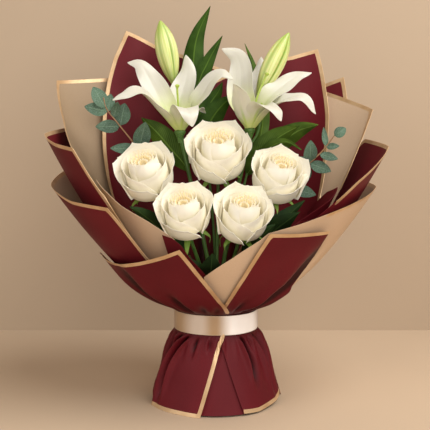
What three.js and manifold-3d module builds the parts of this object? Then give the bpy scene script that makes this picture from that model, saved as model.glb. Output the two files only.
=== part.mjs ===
// A hand-tied bouquet of roses, lilies, buds and foliage, wrapped in layered paper with a satin
// ribbon at its waist. It stands on the flared skirt of the paper and on the cut ends of its stems.
// Millimetres, +Z up. Azimuths are in degrees about the bunch's own axis: 0 is +X (right),
// 90 is the back, 180 the left and 270, or -90, the front.
import * as THREE from 'three';
import { mergeVertices } from 'three/addons/utils/BufferGeometryUtils.js';
import Module from 'manifold-3d';

// --- Driving dimensions ---------------------------------------------------------------------

const PAPER = 0.6; // radial thickness of one sheet
const LAYER_PITCH = 1.4; // radial step from one sheet to the next one out
const WAIST_RADIUS = 43.5; // inner radius of layer 0 under the ribbon
const WAIST_BOTTOM = 97; // the sheets run straight between these two heights
const WAIST_TOP = 123;
const SKIRT_SPREAD = 34; // how much wider the skirt is at the table than at the waist
const WAIST_FOOT = 99; // lower edge of the sheets that have no skirt
const FLARE_START = 6; // softens the bend where the flare leaves the ribbon
const COLUMN_STEP = 13; // widest step between two columns of a sheet, degrees
const SHEET_HEIGHTS = [97, 123, 127, 134, 147, 170, 205, 255, 320, 400];

const RIBBON_WIDTH = 25;
const RIBBON_THICKNESS = 0.5;
const RIBBON_RADIUS = 55.75;
const RIBBON_BOTTOM = 97.4;
const RIBBON_OVERLAP = 24; // degrees that the glued end runs past the start, at the back

const BUNDLE_TOP = 118; // the stems are parallel up to here
const ROSE_STEM = 2.6; // radii
const LILY_STEM = 3;
const FOLIAGE_STEM = 2.1;
const PEDICEL = 2;
const TWIG = 1.7;
const GAP = 0.35; // clearance where two pieces rest on each other

const TIE_INNER = 14.2;
const TIE_OUTER = 16.4;
const TIE_BOTTOM = 100;
const TIE_TOP = 112;
const TIE_ROUNDING = 1.2;

const CUFF_INNER = 16.8;
const CUFF_OUTER = 44.2;
const CUFF_BOTTOM = 62;
const CUFF_TOP = 121;
const CUFF_PLEATS = 14;
const CUFF_WALL = 1.8; // the folded paper of a pleat

const LEAF_THICKNESS = 0.9;
const TEPAL_THICKNESS = 1.2;
const RECEPTACLE_RADIUS = 7.6; // the swollen end of a lily's stem, which carries the tepals
const RECEPTACLE_TOP = 3.4;

// --- Colours --------------------------------------------------------------------------------

const COLOURS = {
  burgundy: 0x6a1f26,
  cream: 0xd2b48f,
  ribbon: 0xe3d3b8,
  twine: 0xb08a56,
  rose: 0xf4ecd8,
  lily: 0xf6f6ee,
  bud: 0xc9d98a,
  stem: 0x4f7a34,
  leaf: 0x2c5a2a,
  eucalyptus: 0x66857a,
};

// --- Wrapping sheets --------------------------------------------------------------------------
// Each sheet is a stretch of a flared sleeve. layer orders the sheets outwards, power and flare
// shape the flare (flare as [azimuth, factor]), and top and foot are its edges as
// [azimuth, height] from its left side to its right side, seen from outside.

const fromWaist = (left, right) => [[left, WAIST_FOOT], [right, WAIST_FOOT]];

const SHEETS = [
  {
    name: 'wrap_front_left', colour: 'burgundy', layer: 8, power: 0.45,
    flare: [[176, 18.9], [188, 19.6], [208, 19.1], [220, 19], [237, 16.9], [252, 15], [263, 14.1],
      [285, 13.7]],
    top: [[176, 140], [182, 176], [188, 200], [198, 202], [208, 198], [220, 196], [237, 204],
      [252.4, 218], [257.2, 199], [262.8, 179], [270, 158], [281.8, 134], [287.5, 127]],
    foot: [[176, 40], [184, 10], [192, 0], [257, 0], [262.5, 30], [268.8, 58.5], [276.8, 86.5],
      [287.5, 106]],
  },
  {
    name: 'wrap_front_right', colour: 'burgundy', layer: 7, power: 0.55,
    flare: [[-93, 8], [-83, 8.1], [-66, 8.6], [-52, 9.6], [-38.8, 10.7], [-25, 10.9], [0, 10.9]],
    top: [[-93, 126], [-86, 131], [-79.2, 156], [-74.5, 180], [-71, 202.5], [-65.8, 237], [-52, 236],
      [-37.5, 237], [-35, 212.5], [-30, 187.5], [-28.2, 160], [-20, 141], [0, 126]],
    foot: [[-93, 99], [-86, 88], [-78.2, 66], [-73.2, 41], [-66.2, 3.5], [-50, 2], [-25, 5],
      [-12, 8], [0, 14]],
  },
  {
    name: 'wrap_low_left', colour: 'burgundy', layer: 6, power: 0.63,
    flare: [[162, 6], [172, 6.6], [190, 7.3], [207, 6.94], [224, 6.1], [252, 6.1]],
    top: [[162, 270], [172, 305], [190, 288], [207, 272], [224, 266], [228, 237], [232, 206], [245, 150],
      [250, 130]],
    foot: fromWaist(162, 250),
  },
  {
    name: 'wrap_cream_front_right', colour: 'cream', layer: 6, power: 0.6,
    flare: [[-98, 5.74], [-81, 5.8], [-65, 6.2], [-52, 6.9], [-33, 7.65], [-8, 8.3], [12, 8.5]],
    top: [[-98, 181], [-81, 206], [-68.5, 228], [-65, 237], [-52, 247], [-33, 264], [-8, 286], [12, 290],
      [18, 200]],
    foot: fromWaist(-98, 18),
  },
  {
    name: 'wrap_mid_left', colour: 'burgundy', layer: 5, power: 0.6,
    flare: [[152, 5.3], [167, 6.5], [185, 7.3], [202, 7.05], [214, 6.75], [221, 6.75], [232, 6.3]],
    top: [[152, 320], [158, 345], [167, 365], [185, 355], [202, 342], [214, 336], [217, 302], [221, 269],
      [232, 140]],
    foot: fromWaist(152, 232),
  },
  {
    name: 'wrap_mid_right', colour: 'burgundy', layer: 5, power: 0.6,
    flare: [[-56, 6.1], [-49, 6.4], [-41, 6.75], [-27, 7.3], [-8, 7.69], [14, 7.1], [26, 6.5]],
    top: [[-56, 235], [-49, 249], [-41, 251], [-33, 275], [-27, 296], [-8, 338], [14, 349], [26, 310]],
    foot: fromWaist(-56, 26),
  },
  {
    name: 'wrap_inner_front', colour: 'burgundy', layer: 5, power: 0.6,
    flare: [[240, 5.5], [252, 5.4], [263, 5.3], [296, 5.2]],
    top: [[240, 233], [246, 229], [250, 221], [254, 205], [263, 182], [280, 140], [296, 126]],
    foot: [[240, 60], [245, 2], [296, 2]],
  },
  {
    name: 'wrap_cream_left', colour: 'cream', layer: 4, power: 0.6,
    flare: [[138, 3.8], [148, 4.75], [168, 6.2], [190, 6.15], [208, 6.29], [218, 6.38]],
    top: [[138, 410], [148, 437], [168, 429], [177, 373], [190, 336], [208, 301], [216, 279], [218, 260]],
    foot: fromWaist(138, 218),
  },
  {
    name: 'wrap_far_right', colour: 'burgundy', layer: 4, power: 0.6,
    flare: [[16, 6.6], [26, 5.89], [29, 5.53], [34, 5.04], [52, 3.8]],
    top: [[16, 330], [26, 410], [29, 439], [34, 431], [52, 400]],
    foot: fromWaist(16, 52),
  },
  {
    name: 'wrap_cream_front_left', colour: 'cream', layer: 3, power: 0.6,
    flare: [[196, 5.6], [209, 5.7], [217, 5.6], [231, 5.3], [244, 5], [256, 5]],
    top: [[196, 296], [209, 282], [217, 266], [231, 248], [244, 228], [248, 214], [256, 160]],
    foot: fromWaist(196, 256),
  },
  {
    name: 'wrap_cream_right', colour: 'cream', layer: 3, power: 0.6,
    flare: [[4, 6.6], [8, 6.5], [30, 4.85], [45, 3.5], [60, 2.8]],
    top: [[4, 285], [7, 388], [30, 417], [45, 400], [60, 360]],
    foot: fromWaist(4, 60),
  },
  {
    name: 'wrap_back_left', colour: 'burgundy', layer: 3, power: 0.6,
    flare: [[72, 2.2], [95, 2.05], [110, 2.1], [130, 2.82], [143, 3.41], [152, 4.46], [164, 5.5],
      [178, 5.5]],
    top: [[72, 444], [78, 447], [110, 468], [130, 485], [143, 504], [148.5, 465], [152, 433], [157, 383],
      [164, 313], [178, 200]],
    foot: fromWaist(72, 178),
  },
  {
    name: 'wrap_back_right', colour: 'burgundy', layer: 2, power: 0.6,
    flare: [[-4, 5.9], [11, 5.7], [18, 5.3], [27, 4.65], [33, 4.04], [41, 3.13], [55, 2.4], [77.5, 2.1],
      [94, 1.8]],
    top: [[-4, 200], [11, 274], [18, 330], [23, 383], [27, 418], [33, 478], [41, 468], [77.5, 447],
      [94, 432]],
    foot: fromWaist(-4, 94),
  },
  {
    name: 'wrap_inner_right', colour: 'burgundy', layer: 1, power: 0.6,
    flare: [[-56, 5.2], [-38, 5.45], [-20, 6.1], [-12, 6.2], [-6, 5.4], [4, 4.9]],
    top: [[-56, 215], [-38, 246], [-20, 271], [-12, 286], [-6, 279], [4, 250]],
    foot: fromWaist(-56, 4),
  },
  {
    name: 'wrap_rear_left', colour: 'burgundy', layer: 7, power: 0.6,
    flare: [[86, 3.4], [110, 3.7], [130, 4.8], [150, 6.8], [162, 7.7], [180, 8.6]],
    top: [[86, 372], [110, 385], [130, 350], [150, 260], [162, 190], [172, 140], [180, 126]],
    foot: [[86, 0], [172, 0], [176, 60], [180, 99]],
  },
  {
    name: 'wrap_rear_right', colour: 'burgundy', layer: 8, power: 0.6,
    flare: [[-6, 9.6], [14, 9], [30, 7.5], [50, 5.4], [70, 3.8], [98, 3.7]],
    top: [[-6, 126], [6, 129], [20, 155], [32, 240], [50, 350], [70, 385], [98, 365]],
    foot: [[-6, 99], [-2, 60], [4, 0], [98, 0]],
  },
];

// --- Flowers and foliage ------------------------------------------------------------------------
// spot is the stem's place in the tied bundle, as [ring, azimuth]. Every stem lies against its
// neighbours: the rings are the distances of their middles from the middle of the bunch.

const RING = { middle: 0, rose: 5.75, lily: 6.15, twig: 9.1, groove: 9.5, outside: 11.7 };

const ROSES = [
  { centre: [3, -20, 332], lean: 0, diameter: 80, spot: ['middle', 0] },
  { centre: [-90, -35, 307], lean: -0.18, diameter: 74, spot: ['rose', 181] },
  { centre: [81, -35, 303], lean: 0.2, diameter: 73, spot: ['rose', -1] },
  { centre: [-39, -75, 260], lean: -0.12, diameter: 71, spot: ['rose', 239.5] },
  { centre: [33.5, -75, 256], lean: 0.08, diameter: 71, spot: ['rose', -59.5] },
];
const LILY_BEND = 0.22; // the same for a lily stem
const LILY_LEAN = 0.004; // how far a lily stem leans outwards at its top, for each mm that it stands aside
const ROSE_BEND = 0.12; // how much of its free length a rose stem takes to turn
const ROSE_FORWARD = -0.6; // how far a bloom nods towards the front
const ROSE_CENTRE = 0.42; // the middle of a bloom above its hip, in diameters
const ROSE_PROFILE = [[0, 0], [0.12, 0], [0.3, 0.07], [0.45, 0.2], [0.5, 0.38], [0.49, 0.54], [0.4, 0.67],
  [0.22, 0.71], [0, 0.66]]; // [radius, height] in diameters
const HIP_RADIUS = 7;
const HIP_LENGTH = 11;
const HIP_PROFILE = [[0, -2], [ROSE_STEM * 0.8, -2], [HIP_RADIUS, HIP_LENGTH * 0.45],
  [HIP_RADIUS * 0.9, HIP_LENGTH - GAP], [0, HIP_LENGTH - GAP]];

// Tepals run from the flower's base through their points to the tip. ring is how far their root
// stands from the middle of the flower, twist how far they turn about their length, in degrees.
const LILIES = [
  {
    base: [-48, 8, 356], spot: ['lily', 121],
    tepals: [
      { ring: 6.5, width: 27, twist: -30, path: [[-73, -8, 383], [-97, -28, 408], [-116, -40, 404], [-130, -45, 396]] },
      { ring: 4, width: 33, twist: -58, path: [[-71, 12, 394], [-88, 18, 427], [-102, 24, 448], [-119, 28, 451]] },
      { ring: 5.3, width: 30, twist: 0, path: [[-49, 25, 394], [-41, 45, 430], [-39, 54, 447], [-42, 60, 465]] },
      { ring: 6.8, width: 22, twist: 0, path: [[-34, 20, 377], [-26, 30, 388], [-20, 38, 390], [-14, 42, 384]] },
      { ring: 5, width: 30, twist: 44, path: [[-25, 8, 393], [-8, 6, 423], [8, 4, 435], [22, -2, 426]] },
      { ring: 4, width: 31, twist: 0, path: [[-42, -14, 383], [-38, -30, 387], [-33, -42, 378], [-30, -46, 363]] },
    ],
    pistil: [[-49, 6, 372], [-50, 4, 390], [-51, -4, 416]],
  },
  {
    base: [45, 12, 359], spot: ['lily', 59],
    tepals: [
      { ring: 4, width: 33, twist: -50, path: [[34, 20, 401], [34, 30, 442], [27, 36, 462], [8, 40, 471]] },
      { ring: 6.5, width: 28, twist: 0, path: [[51, 43, 402], [59, 62, 431], [62, 72, 449], [64, 80, 465]] },
      { ring: 4, width: 30, twist: 42, path: [[70, 13, 401], [94, 25, 423], [114, 37, 436], [131, 44, 439]] },
      { ring: 6.5, width: 26, twist: 30, path: [[74, 0, 389], [94, -8, 400], [114, -14, 402], [129, -18, 380]] },
      { ring: 4, width: 27, twist: 0, path: [[55, -8, 386], [67, -28, 390], [76, -42, 384], [82, -46, 370]] },
      { ring: 6.5, width: 25, twist: 0, path: [[34, -6, 386], [31, -18, 403], [27, -24, 413], [22, -27, 418]] },
    ],
    pistil: [[48, 9, 374], [54, 4, 402], [66, 0, 432]],
  },
];

const RECEPTACLE_PROFILE = [[0, -12], [LILY_STEM, -12], [RECEPTACLE_RADIUS, 0],
  [RECEPTACLE_RADIUS, RECEPTACLE_TOP], [0, RECEPTACLE_TOP]]; // [radius, height]
const OVARY_PROFILE = [[0, -3], [2.4, -3], [2.4, 14], [0, 18]];
const STIGMA_PROFILE = [[0, -1], [2.6, 1], [2.8, 3], [0, 4]];
const STYLE_RADIUS = 1.4;

// Buds stand on pedicels that leave the lily stems just under the open flowers.
const BUDS = [
  { name: 'lily_bud_1', pedicel: [[-44.8, 12.4, 335], [-46, 26, 353], [-58, 50, 388]], base: [-59, 62, 426],
    tip: [-78, 70, 514], radius: 15.5 },
  { name: 'lily_bud_2', pedicel: [[45.4, 13.9, 340], [56, 26, 356], [60, 29, 377]], base: [57, 32, 408],
    tip: [99, 36, 492], radius: 14.5 },
];
const BUD_PROFILE = [[0, 0], [0.28, 0.02], [0.55, 0.12], [0.85, 0.32], [1, 0.52], [0.9, 0.72], [0.55, 0.9],
  [0, 1]]; // [radius, length] in bud radii and bud lengths

// from is where a leaf leaves its stem, as a fraction of the stem's length.
const FOLIAGE = [
  {
    name: 'foliage_back', spot: ['groove', 90], path: [[-4, 40, 240], [-16, 46, 362]],
    leaves: [
      { from: 0.985, width: 31, path: [[-26, 58, 385], [-32, 72, 432], [-28, 84, 489], [-8, 92, 538]] },
      { from: 0.97, width: 24, path: [[-21, 50, 375], [-24, 60, 424], [-11, 68, 457], [9, 76, 494]] },
      { from: 0.99, width: 24, path: [[-11, 54, 378], [-8, 62, 398], [3, 68, 415], [9, 70, 429]] },
      { from: 0.95, width: 30, path: [[-12, 42, 361], [-5, 46, 378], [8, 50, 395], [25, 54, 410]] },
    ],
  },
  {
    name: 'foliage_right', spot: ['outside', 59], path: [[26, 30, 220], [46, 34, 318]],
    leaves: [
      { from: 0.94, width: 32, path: [[54, 26, 318], [66, 22, 334], [86, 18, 352], [111, 8, 366]] },
      { from: 1, width: 34, path: [[60, 38, 330], [88, 44, 345], [115, 40, 361], [139, 30, 368]] },
      { from: 0.94, width: 18, path: [[62, 56, 350], [66, 72, 400], [52, 80, 455], [41, 84, 484]] },
      { from: 1, width: 13, path: [[62, 20, 330], [80, 10, 342], [96, 2, 344], [113, -2, 334]] },
    ],
  },
  {
    name: 'foliage_left', spot: ['outside', 121], path: [[-22, 28, 220], [-38, 30, 305]],
    leaves: [
      { from: 1, width: 34, path: [[-46, 30, 318], [-60, 28, 334], [-80, 24, 358], [-100, 16, 377]] },
    ],
  },
  {
    name: 'rose_leaf_left', spot: ['groove', 210], path: [[-20, -14, 160], [-36, -18, 195]],
    leaves: [
      { from: 1, width: 30, path: [[-50, -24, 206], [-74, -36, 234], [-93, -46, 252], [-109, -52, 262]] },
    ],
  },
  {
    name: 'rose_leaf_right', spot: ['groove', 330], path: [[20, -14, 160], [36, -18, 195]],
    leaves: [
      { from: 1, width: 30, path: [[50, -24, 204], [72, -38, 228], [89, -48, 243], [106, -54, 256]] },
      { from: 1, width: 28, path: [[60, -28, 212], [82, -24, 236], [100, -20, 254], [116, -16, 268]] },
      { from: 1, width: 22, path: [[44, -34, 206], [54, -46, 220], [64, -52, 231], [75, -54, 240]] },
    ],
  },
  {
    name: 'rose_leaf_front', spot: ['groove', 270], path: [[0, -22, 140], [-4, -36, 165]],
    leaves: [
      { from: 1, width: 30, path: [[-7, -48, 172], [-7, -62, 178], [-6, -76, 188], [-5, -86, 207]] },
      { from: 1, width: 22, path: [[-10, -48, 172], [-20, -62, 178], [-30, -70, 190], [-38, -74, 203]] },
    ],
  },
];

// Leaves of a sprig: where they leave the twig, as a fraction of its length, their tip, their width,
// and how far they turn away from the front.
const EUCALYPTUS = [
  {
    name: 'eucalyptus_left', spot: ['twig', 151],
    path: [[-34, 18, 210], [-84, 16, 305], [-107, 0, 340], [-129, -8, 369], [-143, -8, 387], [-147, -8, 402]],
    leaves: [
      [0.766, [-92, -12, 370], 22, 0.3], [0.76, [-138, -14, 336], 15, -0.3],
      [0.876, [-120, -2, 395], 22, -0.2], [0.872, [-157, -14, 364], 17, 0.4],
      [0.92, [-128, -14, 396], 12, 0.5], [0.95, [-138, -4, 407], 14, 0.1],
      [0.95, [-171, -14, 390], 17, -0.4], [0.962, [-161, -4, 416], 19, 0.2],
    ],
  },
  {
    name: 'eucalyptus_right', spot: ['twig', 29],
    path: [[34, 16, 200], [100, 4, 280], [119, -12, 312], [127, -16, 321], [138, -18, 332], [146, -20, 342],
      [153, -20, 352]],
    leaves: [
      [0.71, [133, 0, 274], 16, 0.3], [0.82, [124, -6, 297], 11, -0.3],
      [0.83, [111, -4, 325], 13, 0.3], [0.845, [149, -24, 306], 15, -0.2],
      [0.855, [122, -26, 346], 18, 0.2], [0.905, [158, -22, 322], 11, 0.4],
      [0.95, [159, -26, 339], 8, -0.3], [0.955, [140, -16, 363], 9, 0.5],
      [1, [168, -20, 362], 13, 0.1],
    ],
  },
];
const TWIG_JOINT = 5; // how far the curved end of a twig starts inside its straight end

// --- Small helpers -----------------------------------------------------------------------------

const UP = new THREE.Vector3(0, 1, 0); // the axis that turned profiles are made about
const vec = ([x, y, z]) => new THREE.Vector3(x, y, z);
const radians = THREE.MathUtils.degToRad;

// Straight-line reading of a list of [where, value] pairs.
function read(pairs, where) {
  const last = pairs.length - 1;
  if (where <= pairs[0][0]) return pairs[0][1];
  if (where >= pairs[last][0]) return pairs[last][1];
  const i = pairs.findIndex(([at]) => at >= where);
  const [a, b] = [pairs[i - 1], pairs[i]];
  return a[1] + (b[1] - a[1]) * (where - a[0]) / (b[0] - a[0]);
}

// A closed body from two facing grids of points. The front grid faces out by the right-hand rule
// of (column, row). Points that coincide are shared, so an edge may shrink to a point.
function closedBody(front, back) {
  const positions = [];
  const triangles = [];
  const known = new Map();
  const index = (p) => {
    const key = [p.x, p.y, p.z].map((value) => value.toFixed(3)).join();
    if (!known.has(key)) {
      known.set(key, positions.length / 3);
      positions.push(p.x, p.y, p.z);
    }
    return known.get(key);
  };
  const triangle = (a, b, c) => {
    const corners = [a, b, c].map(index);
    if (new Set(corners).size === 3) triangles.push(...corners);
  };
  const quad = (a, b, c, d) => {
    triangle(a, b, c);
    triangle(a, c, d);
  };
  const columns = front.length - 1;
  const rows = front[0].length - 1;
  for (let i = 0; i < columns; i += 1) {
    for (let j = 0; j < rows; j += 1) {
      quad(front[i][j], front[i + 1][j], front[i + 1][j + 1], front[i][j + 1]);
      quad(back[i][j], back[i][j + 1], back[i + 1][j + 1], back[i + 1][j]);
    }
    quad(back[i][0], back[i + 1][0], front[i + 1][0], front[i][0]);
    quad(front[i][rows], front[i + 1][rows], back[i + 1][rows], back[i][rows]);
  }
  for (let j = 0; j < rows; j += 1) {
    quad(front[0][j], front[0][j + 1], back[0][j + 1], back[0][j]);
    quad(back[columns][j], back[columns][j + 1], front[columns][j + 1], front[columns][j]);
  }
  const geometry = new THREE.BufferGeometry();
  geometry.setAttribute('position', new THREE.Float32BufferAttribute(positions, 3));
  geometry.setIndex(triangles);
  return geometry;
}

const wasm = await Module();
wasm.setup();

function toSolid(geometry) {
  const bare = geometry.index ? geometry.toNonIndexed() : geometry.clone();
  bare.deleteAttribute('normal');
  bare.deleteAttribute('uv');
  const merged = mergeVertices(bare, 1e-3);
  return new wasm.Manifold(new wasm.Mesh({
    numProp: 3,
    vertProperties: merged.attributes.position.array,
    triVerts: new Uint32Array(merged.index.array),
  }));
}

function join(geometries) {
  const mesh = geometries.map(toSolid).reduce((whole, next) => whole.add(next)).getMesh();
  const geometry = new THREE.BufferGeometry();
  geometry.setAttribute('position', new THREE.Float32BufferAttribute(mesh.vertProperties, 3));
  geometry.setIndex([...mesh.triVerts]);
  return geometry;
}

function tube(curve, radius, sides, steps) {
  const outline = new THREE.Shape(Array.from({ length: sides }, (_, i) => {
    const angle = 2 * Math.PI * i / sides;
    return new THREE.Vector2(radius * Math.cos(angle), radius * Math.sin(angle));
  }));
  return new THREE.ExtrudeGeometry(outline, { steps, extrudePath: curve, bevelEnabled: false });
}

function turned(profile, sides) {
  return new THREE.LatheGeometry(profile.map(([r, h]) => new THREE.Vector2(r, h)), sides);
}

// Moves a shape made about +Y so that it stands at a point and looks along a direction.
function stand(geometry, at, along) {
  const turn = new THREE.Quaternion().setFromUnitVectors(UP, along.clone().normalize());
  return geometry.applyQuaternion(turn).translate(at.x, at.y, at.z);
}

// --- Sheets --------------------------------------------------------------------------------------

function sheetRadius(sheet, azimuth, height) {
  const straight = WAIST_RADIUS + sheet.layer * LAYER_PITCH;
  if (height < WAIST_BOTTOM) {
    return straight + SKIRT_SPREAD * (WAIST_BOTTOM - height) / WAIST_BOTTOM;
  }
  const above = Math.max(height - WAIST_TOP, 0) + FLARE_START;
  const rise = above ** sheet.power - FLARE_START ** sheet.power;
  return straight + read(sheet.flare, azimuth) * rise;
}

// Azimuths where an edge passes one of the sheets' common heights.
function crossings(edge) {
  return edge.slice(1).flatMap(([azimuth, height], i) => {
    const [before, start] = edge[i];
    return SHEET_HEIGHTS
      .filter((level) => (level - start) * (level - height) < 0)
      .map((level) => before + (azimuth - before) * (level - start) / (height - start));
  });
}

function sheetColumns({ top, foot }) {
  const ends = [...top, ...foot].map(([azimuth]) => azimuth);
  const corners = new Set([...ends, ...crossings(top), ...crossings(foot)]);
  const sorted = [...corners].sort((a, b) => a - b);
  const columns = [sorted[0]];
  sorted.slice(1).forEach((azimuth) => {
    const from = columns[columns.length - 1];
    const steps = Math.ceil((azimuth - from) / COLUMN_STEP);
    for (let k = 1; k <= steps; k += 1) columns.push(from + (azimuth - from) * k / steps);
  });
  return columns;
}

function sheetGeometry(sheet) {
  const surface = (offset) => sheetColumns(sheet).map((azimuth) => {
    const foot = read(sheet.foot, azimuth);
    const top = read(sheet.top, azimuth);
    const between = SHEET_HEIGHTS.map((height) => Math.min(Math.max(height, foot), top));
    return [foot, ...between, top].map((height) => {
      const radius = sheetRadius(sheet, azimuth, height) + offset;
      const angle = radians(azimuth);
      return new THREE.Vector3(radius * Math.cos(angle), radius * Math.sin(angle), height);
    });
  });
  return closedBody(surface(PAPER), surface(0));
}

// --- Ribbon, tie and cuff ---------------------------------------------------------------------------

function ribbonGeometry() {
  const whole = 360 + RIBBON_OVERLAP;
  const columns = 32;
  const surface = (offset) => Array.from({ length: columns + 1 }, (_, i) => {
    const turn = whole * i / columns;
    const lift = THREE.MathUtils.smoothstep(turn, 320, 358) * (RIBBON_THICKNESS + GAP);
    const angle = radians(90 + turn);
    const radius = RIBBON_RADIUS + lift + offset;
    return [RIBBON_BOTTOM, RIBBON_BOTTOM + RIBBON_WIDTH].map((height) => (
      new THREE.Vector3(radius * Math.cos(angle), radius * Math.sin(angle), height)));
  });
  return closedBody(surface(RIBBON_THICKNESS), surface(0));
}

// Twine wound round the stems, as one band with a rounded section.
function tieGeometry() {
  const profile = [[TIE_INNER, TIE_BOTTOM], [TIE_OUTER, TIE_BOTTOM + TIE_ROUNDING],
    [TIE_OUTER, TIE_TOP - TIE_ROUNDING], [TIE_INNER, TIE_TOP], [TIE_INNER, TIE_BOTTOM]];
  return turned(profile, 24).rotateX(Math.PI / 2);
}

// A pleated paper cuff that fills the space between the tied stems and the wrapping.
function cuffGeometry() {
  const ring = (bulge) => Array.from({ length: CUFF_PLEATS * 2 }, (_, i) => {
    const angle = Math.PI * i / CUFF_PLEATS;
    const radius = (i % 2 ? CUFF_OUTER - CUFF_WALL : CUFF_INNER) + bulge;
    return new THREE.Vector2(radius * Math.cos(angle), radius * Math.sin(angle));
  });
  const outline = new THREE.Shape(ring(CUFF_WALL));
  outline.holes.push(new THREE.Path(ring(0)));
  const depth = CUFF_TOP - CUFF_BOTTOM;
  return new THREE.ExtrudeGeometry(outline, { depth, bevelEnabled: false }).translate(0, 0, CUFF_BOTTOM);
}

// --- Stems -----------------------------------------------------------------------------------------

function bundleSpot([ring, azimuth], height) {
  const angle = radians(azimuth);
  return new THREE.Vector3(RING[ring] * Math.cos(angle), RING[ring] * Math.sin(angle), height);
}

// A stem: straight through the bundle, then an even curve that arrives along a direction.
function stemCurve(spot, end, arriving, bend = 0.4) {
  const foot = bundleSpot(spot, 0);
  const top = bundleSpot(spot, BUNDLE_TOP);
  const reach = end.distanceTo(top) * bend;
  const path = new THREE.CurvePath();
  path.add(new THREE.LineCurve3(foot, top));
  path.add(new THREE.CubicBezierCurve3(
    top,
    top.clone().add(new THREE.Vector3(0, 0, reach)),
    end.clone().addScaledVector(arriving.clone().normalize(), -reach),
    end,
  ));
  return path;
}

// --- Roses -----------------------------------------------------------------------------------------

function roseAxis({ lean }) {
  return new THREE.Vector3(lean, ROSE_FORWARD, 0.8).normalize();
}

function roseFoot(rose) {
  return vec(rose.centre).addScaledVector(roseAxis(rose), -ROSE_CENTRE * rose.diameter);
}

function roseBloomGeometry(rose) {
  const profile = ROSE_PROFILE.map(([r, h]) => [r * rose.diameter, h * rose.diameter]);
  return stand(turned(profile, 12), roseFoot(rose), roseAxis(rose));
}

function roseStemGeometry(rose) {
  const axis = roseAxis(rose);
  const end = roseFoot(rose).addScaledVector(axis, -HIP_LENGTH);
  const stem = tube(stemCurve(rose.spot, end, axis, ROSE_BEND), ROSE_STEM, 6, 10);
  return join([stem, stand(turned(HIP_PROFILE, 8), end, axis)]);
}

// --- Thin organs: tepals and leaves ----------------------------------------------------------------

// A thin blade along a path. across points along its width, and widths gives its half width from
// root to tip. cup bends its sides towards the upper face, and twist turns it about its own length.
function bladeGeometry(points, across, halfWidth, thickness, cup, { steps = 7, twist = 0 } = {}) {
  const curve = new THREE.CatmullRomCurve3(points, false, 'centripetal');
  const surface = (side) => [-1, 0, 1].map((edge) => (
    Array.from({ length: steps + 1 }, (_, i) => {
      const t = i / steps;
      const along = curve.getTangentAt(t);
      const turn = radians(twist) * THREE.MathUtils.smoothstep(t, 0.04, 0.5);
      const wide = across.clone().addScaledVector(along, -across.dot(along)).normalize()
        .applyAxisAngle(along, turn);
      const normal = wide.clone().cross(along).normalize();
      const half = halfWidth(t);
      return curve.getPointAt(t)
        .addScaledVector(wide, edge * half)
        .addScaledVector(normal, side * thickness / 2 + cup * half * edge * edge);
    })));
  return closedBody(surface(1), surface(-1));
}

const tepalHalfWidth = (width) => (t) => width / 2 * (0.16 + 0.84 * Math.sin(Math.PI * t ** 1.1) ** 0.9);
const leafHalfWidth = (width) => (t) => Math.max(width / 2 * Math.sin(Math.PI * t ** 0.8), 1.1 - t);

function tepalGeometry(lily, { ring, width, twist, path }) {
  const base = vec(lily.base);
  const points = path.map(vec);
  const outward = points[1].clone().sub(base).setZ(0).normalize();
  const across = new THREE.Vector3(-outward.y, outward.x, 0);
  const root = base.clone().addScaledVector(outward, ring).setZ(base.z + RECEPTACLE_TOP + GAP * 2);
  return bladeGeometry([root, ...points], across, tepalHalfWidth(width), TEPAL_THICKNESS, 0.25, { twist });
}

function lilyStemCurve(lily) {
  const arriving = new THREE.Vector3(lily.base[0] * LILY_LEAN, 0, 1);
  return stemCurve(lily.spot, vec(lily.base), arriving, LILY_BEND);
}

// The stem ends in the flower's pistil: ovary, style and stigma.
function lilyStemGeometry(lily) {
  const base = vec(lily.base);
  const path = lily.pistil.map(vec);
  const stem = tube(lilyStemCurve(lily), LILY_STEM, 6, 10);
  const receptacle = turned(RECEPTACLE_PROFILE, 12).rotateX(Math.PI / 2).translate(...lily.base);
  const ovary = stand(turned(OVARY_PROFILE, 8), base, path[0].clone().sub(base));
  const style = tube(new THREE.CatmullRomCurve3(path), STYLE_RADIUS, 5, 4);
  const stigma = stand(turned(STIGMA_PROFILE, 8), path[2], path[2].clone().sub(path[1]));
  return join([stem, receptacle, ovary, style, stigma]);
}

function budGeometry({ pedicel, base, tip, radius }) {
  const from = vec(base);
  const axis = vec(tip).sub(from);
  const profile = BUD_PROFILE.map(([r, h]) => [r * radius, h * axis.length()]);
  const body = stand(turned(profile, 12), from, axis);
  const stalk = new THREE.CatmullRomCurve3([...pedicel.map(vec), from.clone().addScaledVector(axis, 0.06)]);
  return join([body, tube(stalk, PEDICEL, 5, 7)]);
}

// A stem of foliage with its leaves, which grew as one piece.
function foliageGeometry({ spot, path, leaves }) {
  const end = vec(path[1]);
  const curve = stemCurve(spot, end, end.clone().sub(vec(path[0])));
  const blades = leaves.map((leaf) => {
    const points = [curve.getPointAt(leaf.from), ...leaf.path.map(vec)];
    const outward = points[4].clone().sub(points[1]);
    const across = outward.cross(new THREE.Vector3(0, 1, 0.4)).normalize();
    return bladeGeometry(points, across, leafHalfWidth(leaf.width), LEAF_THICKNESS, 0.18);
  });
  return join([tube(curve, FOLIAGE_STEM, 5, 9), ...blades]);
}

// --- Eucalyptus ----------------------------------------------------------------------------------

function roundLeafGeometry(at, tip, width, turn) {
  const outward = tip.clone().sub(at);
  const across = outward.clone().cross(new THREE.Vector3(turn, -1, 0.3)).normalize();
  const points = [0, 0.33, 0.66, 1].map((t) => at.clone().addScaledVector(outward, t));
  const halfWidth = (t) => Math.max(width / 2 * Math.sin(Math.PI * t ** 0.9) ** 0.75, 0.8);
  return bladeGeometry(points, across, halfWidth, LEAF_THICKNESS, 0, { steps: 5 });
}

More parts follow.
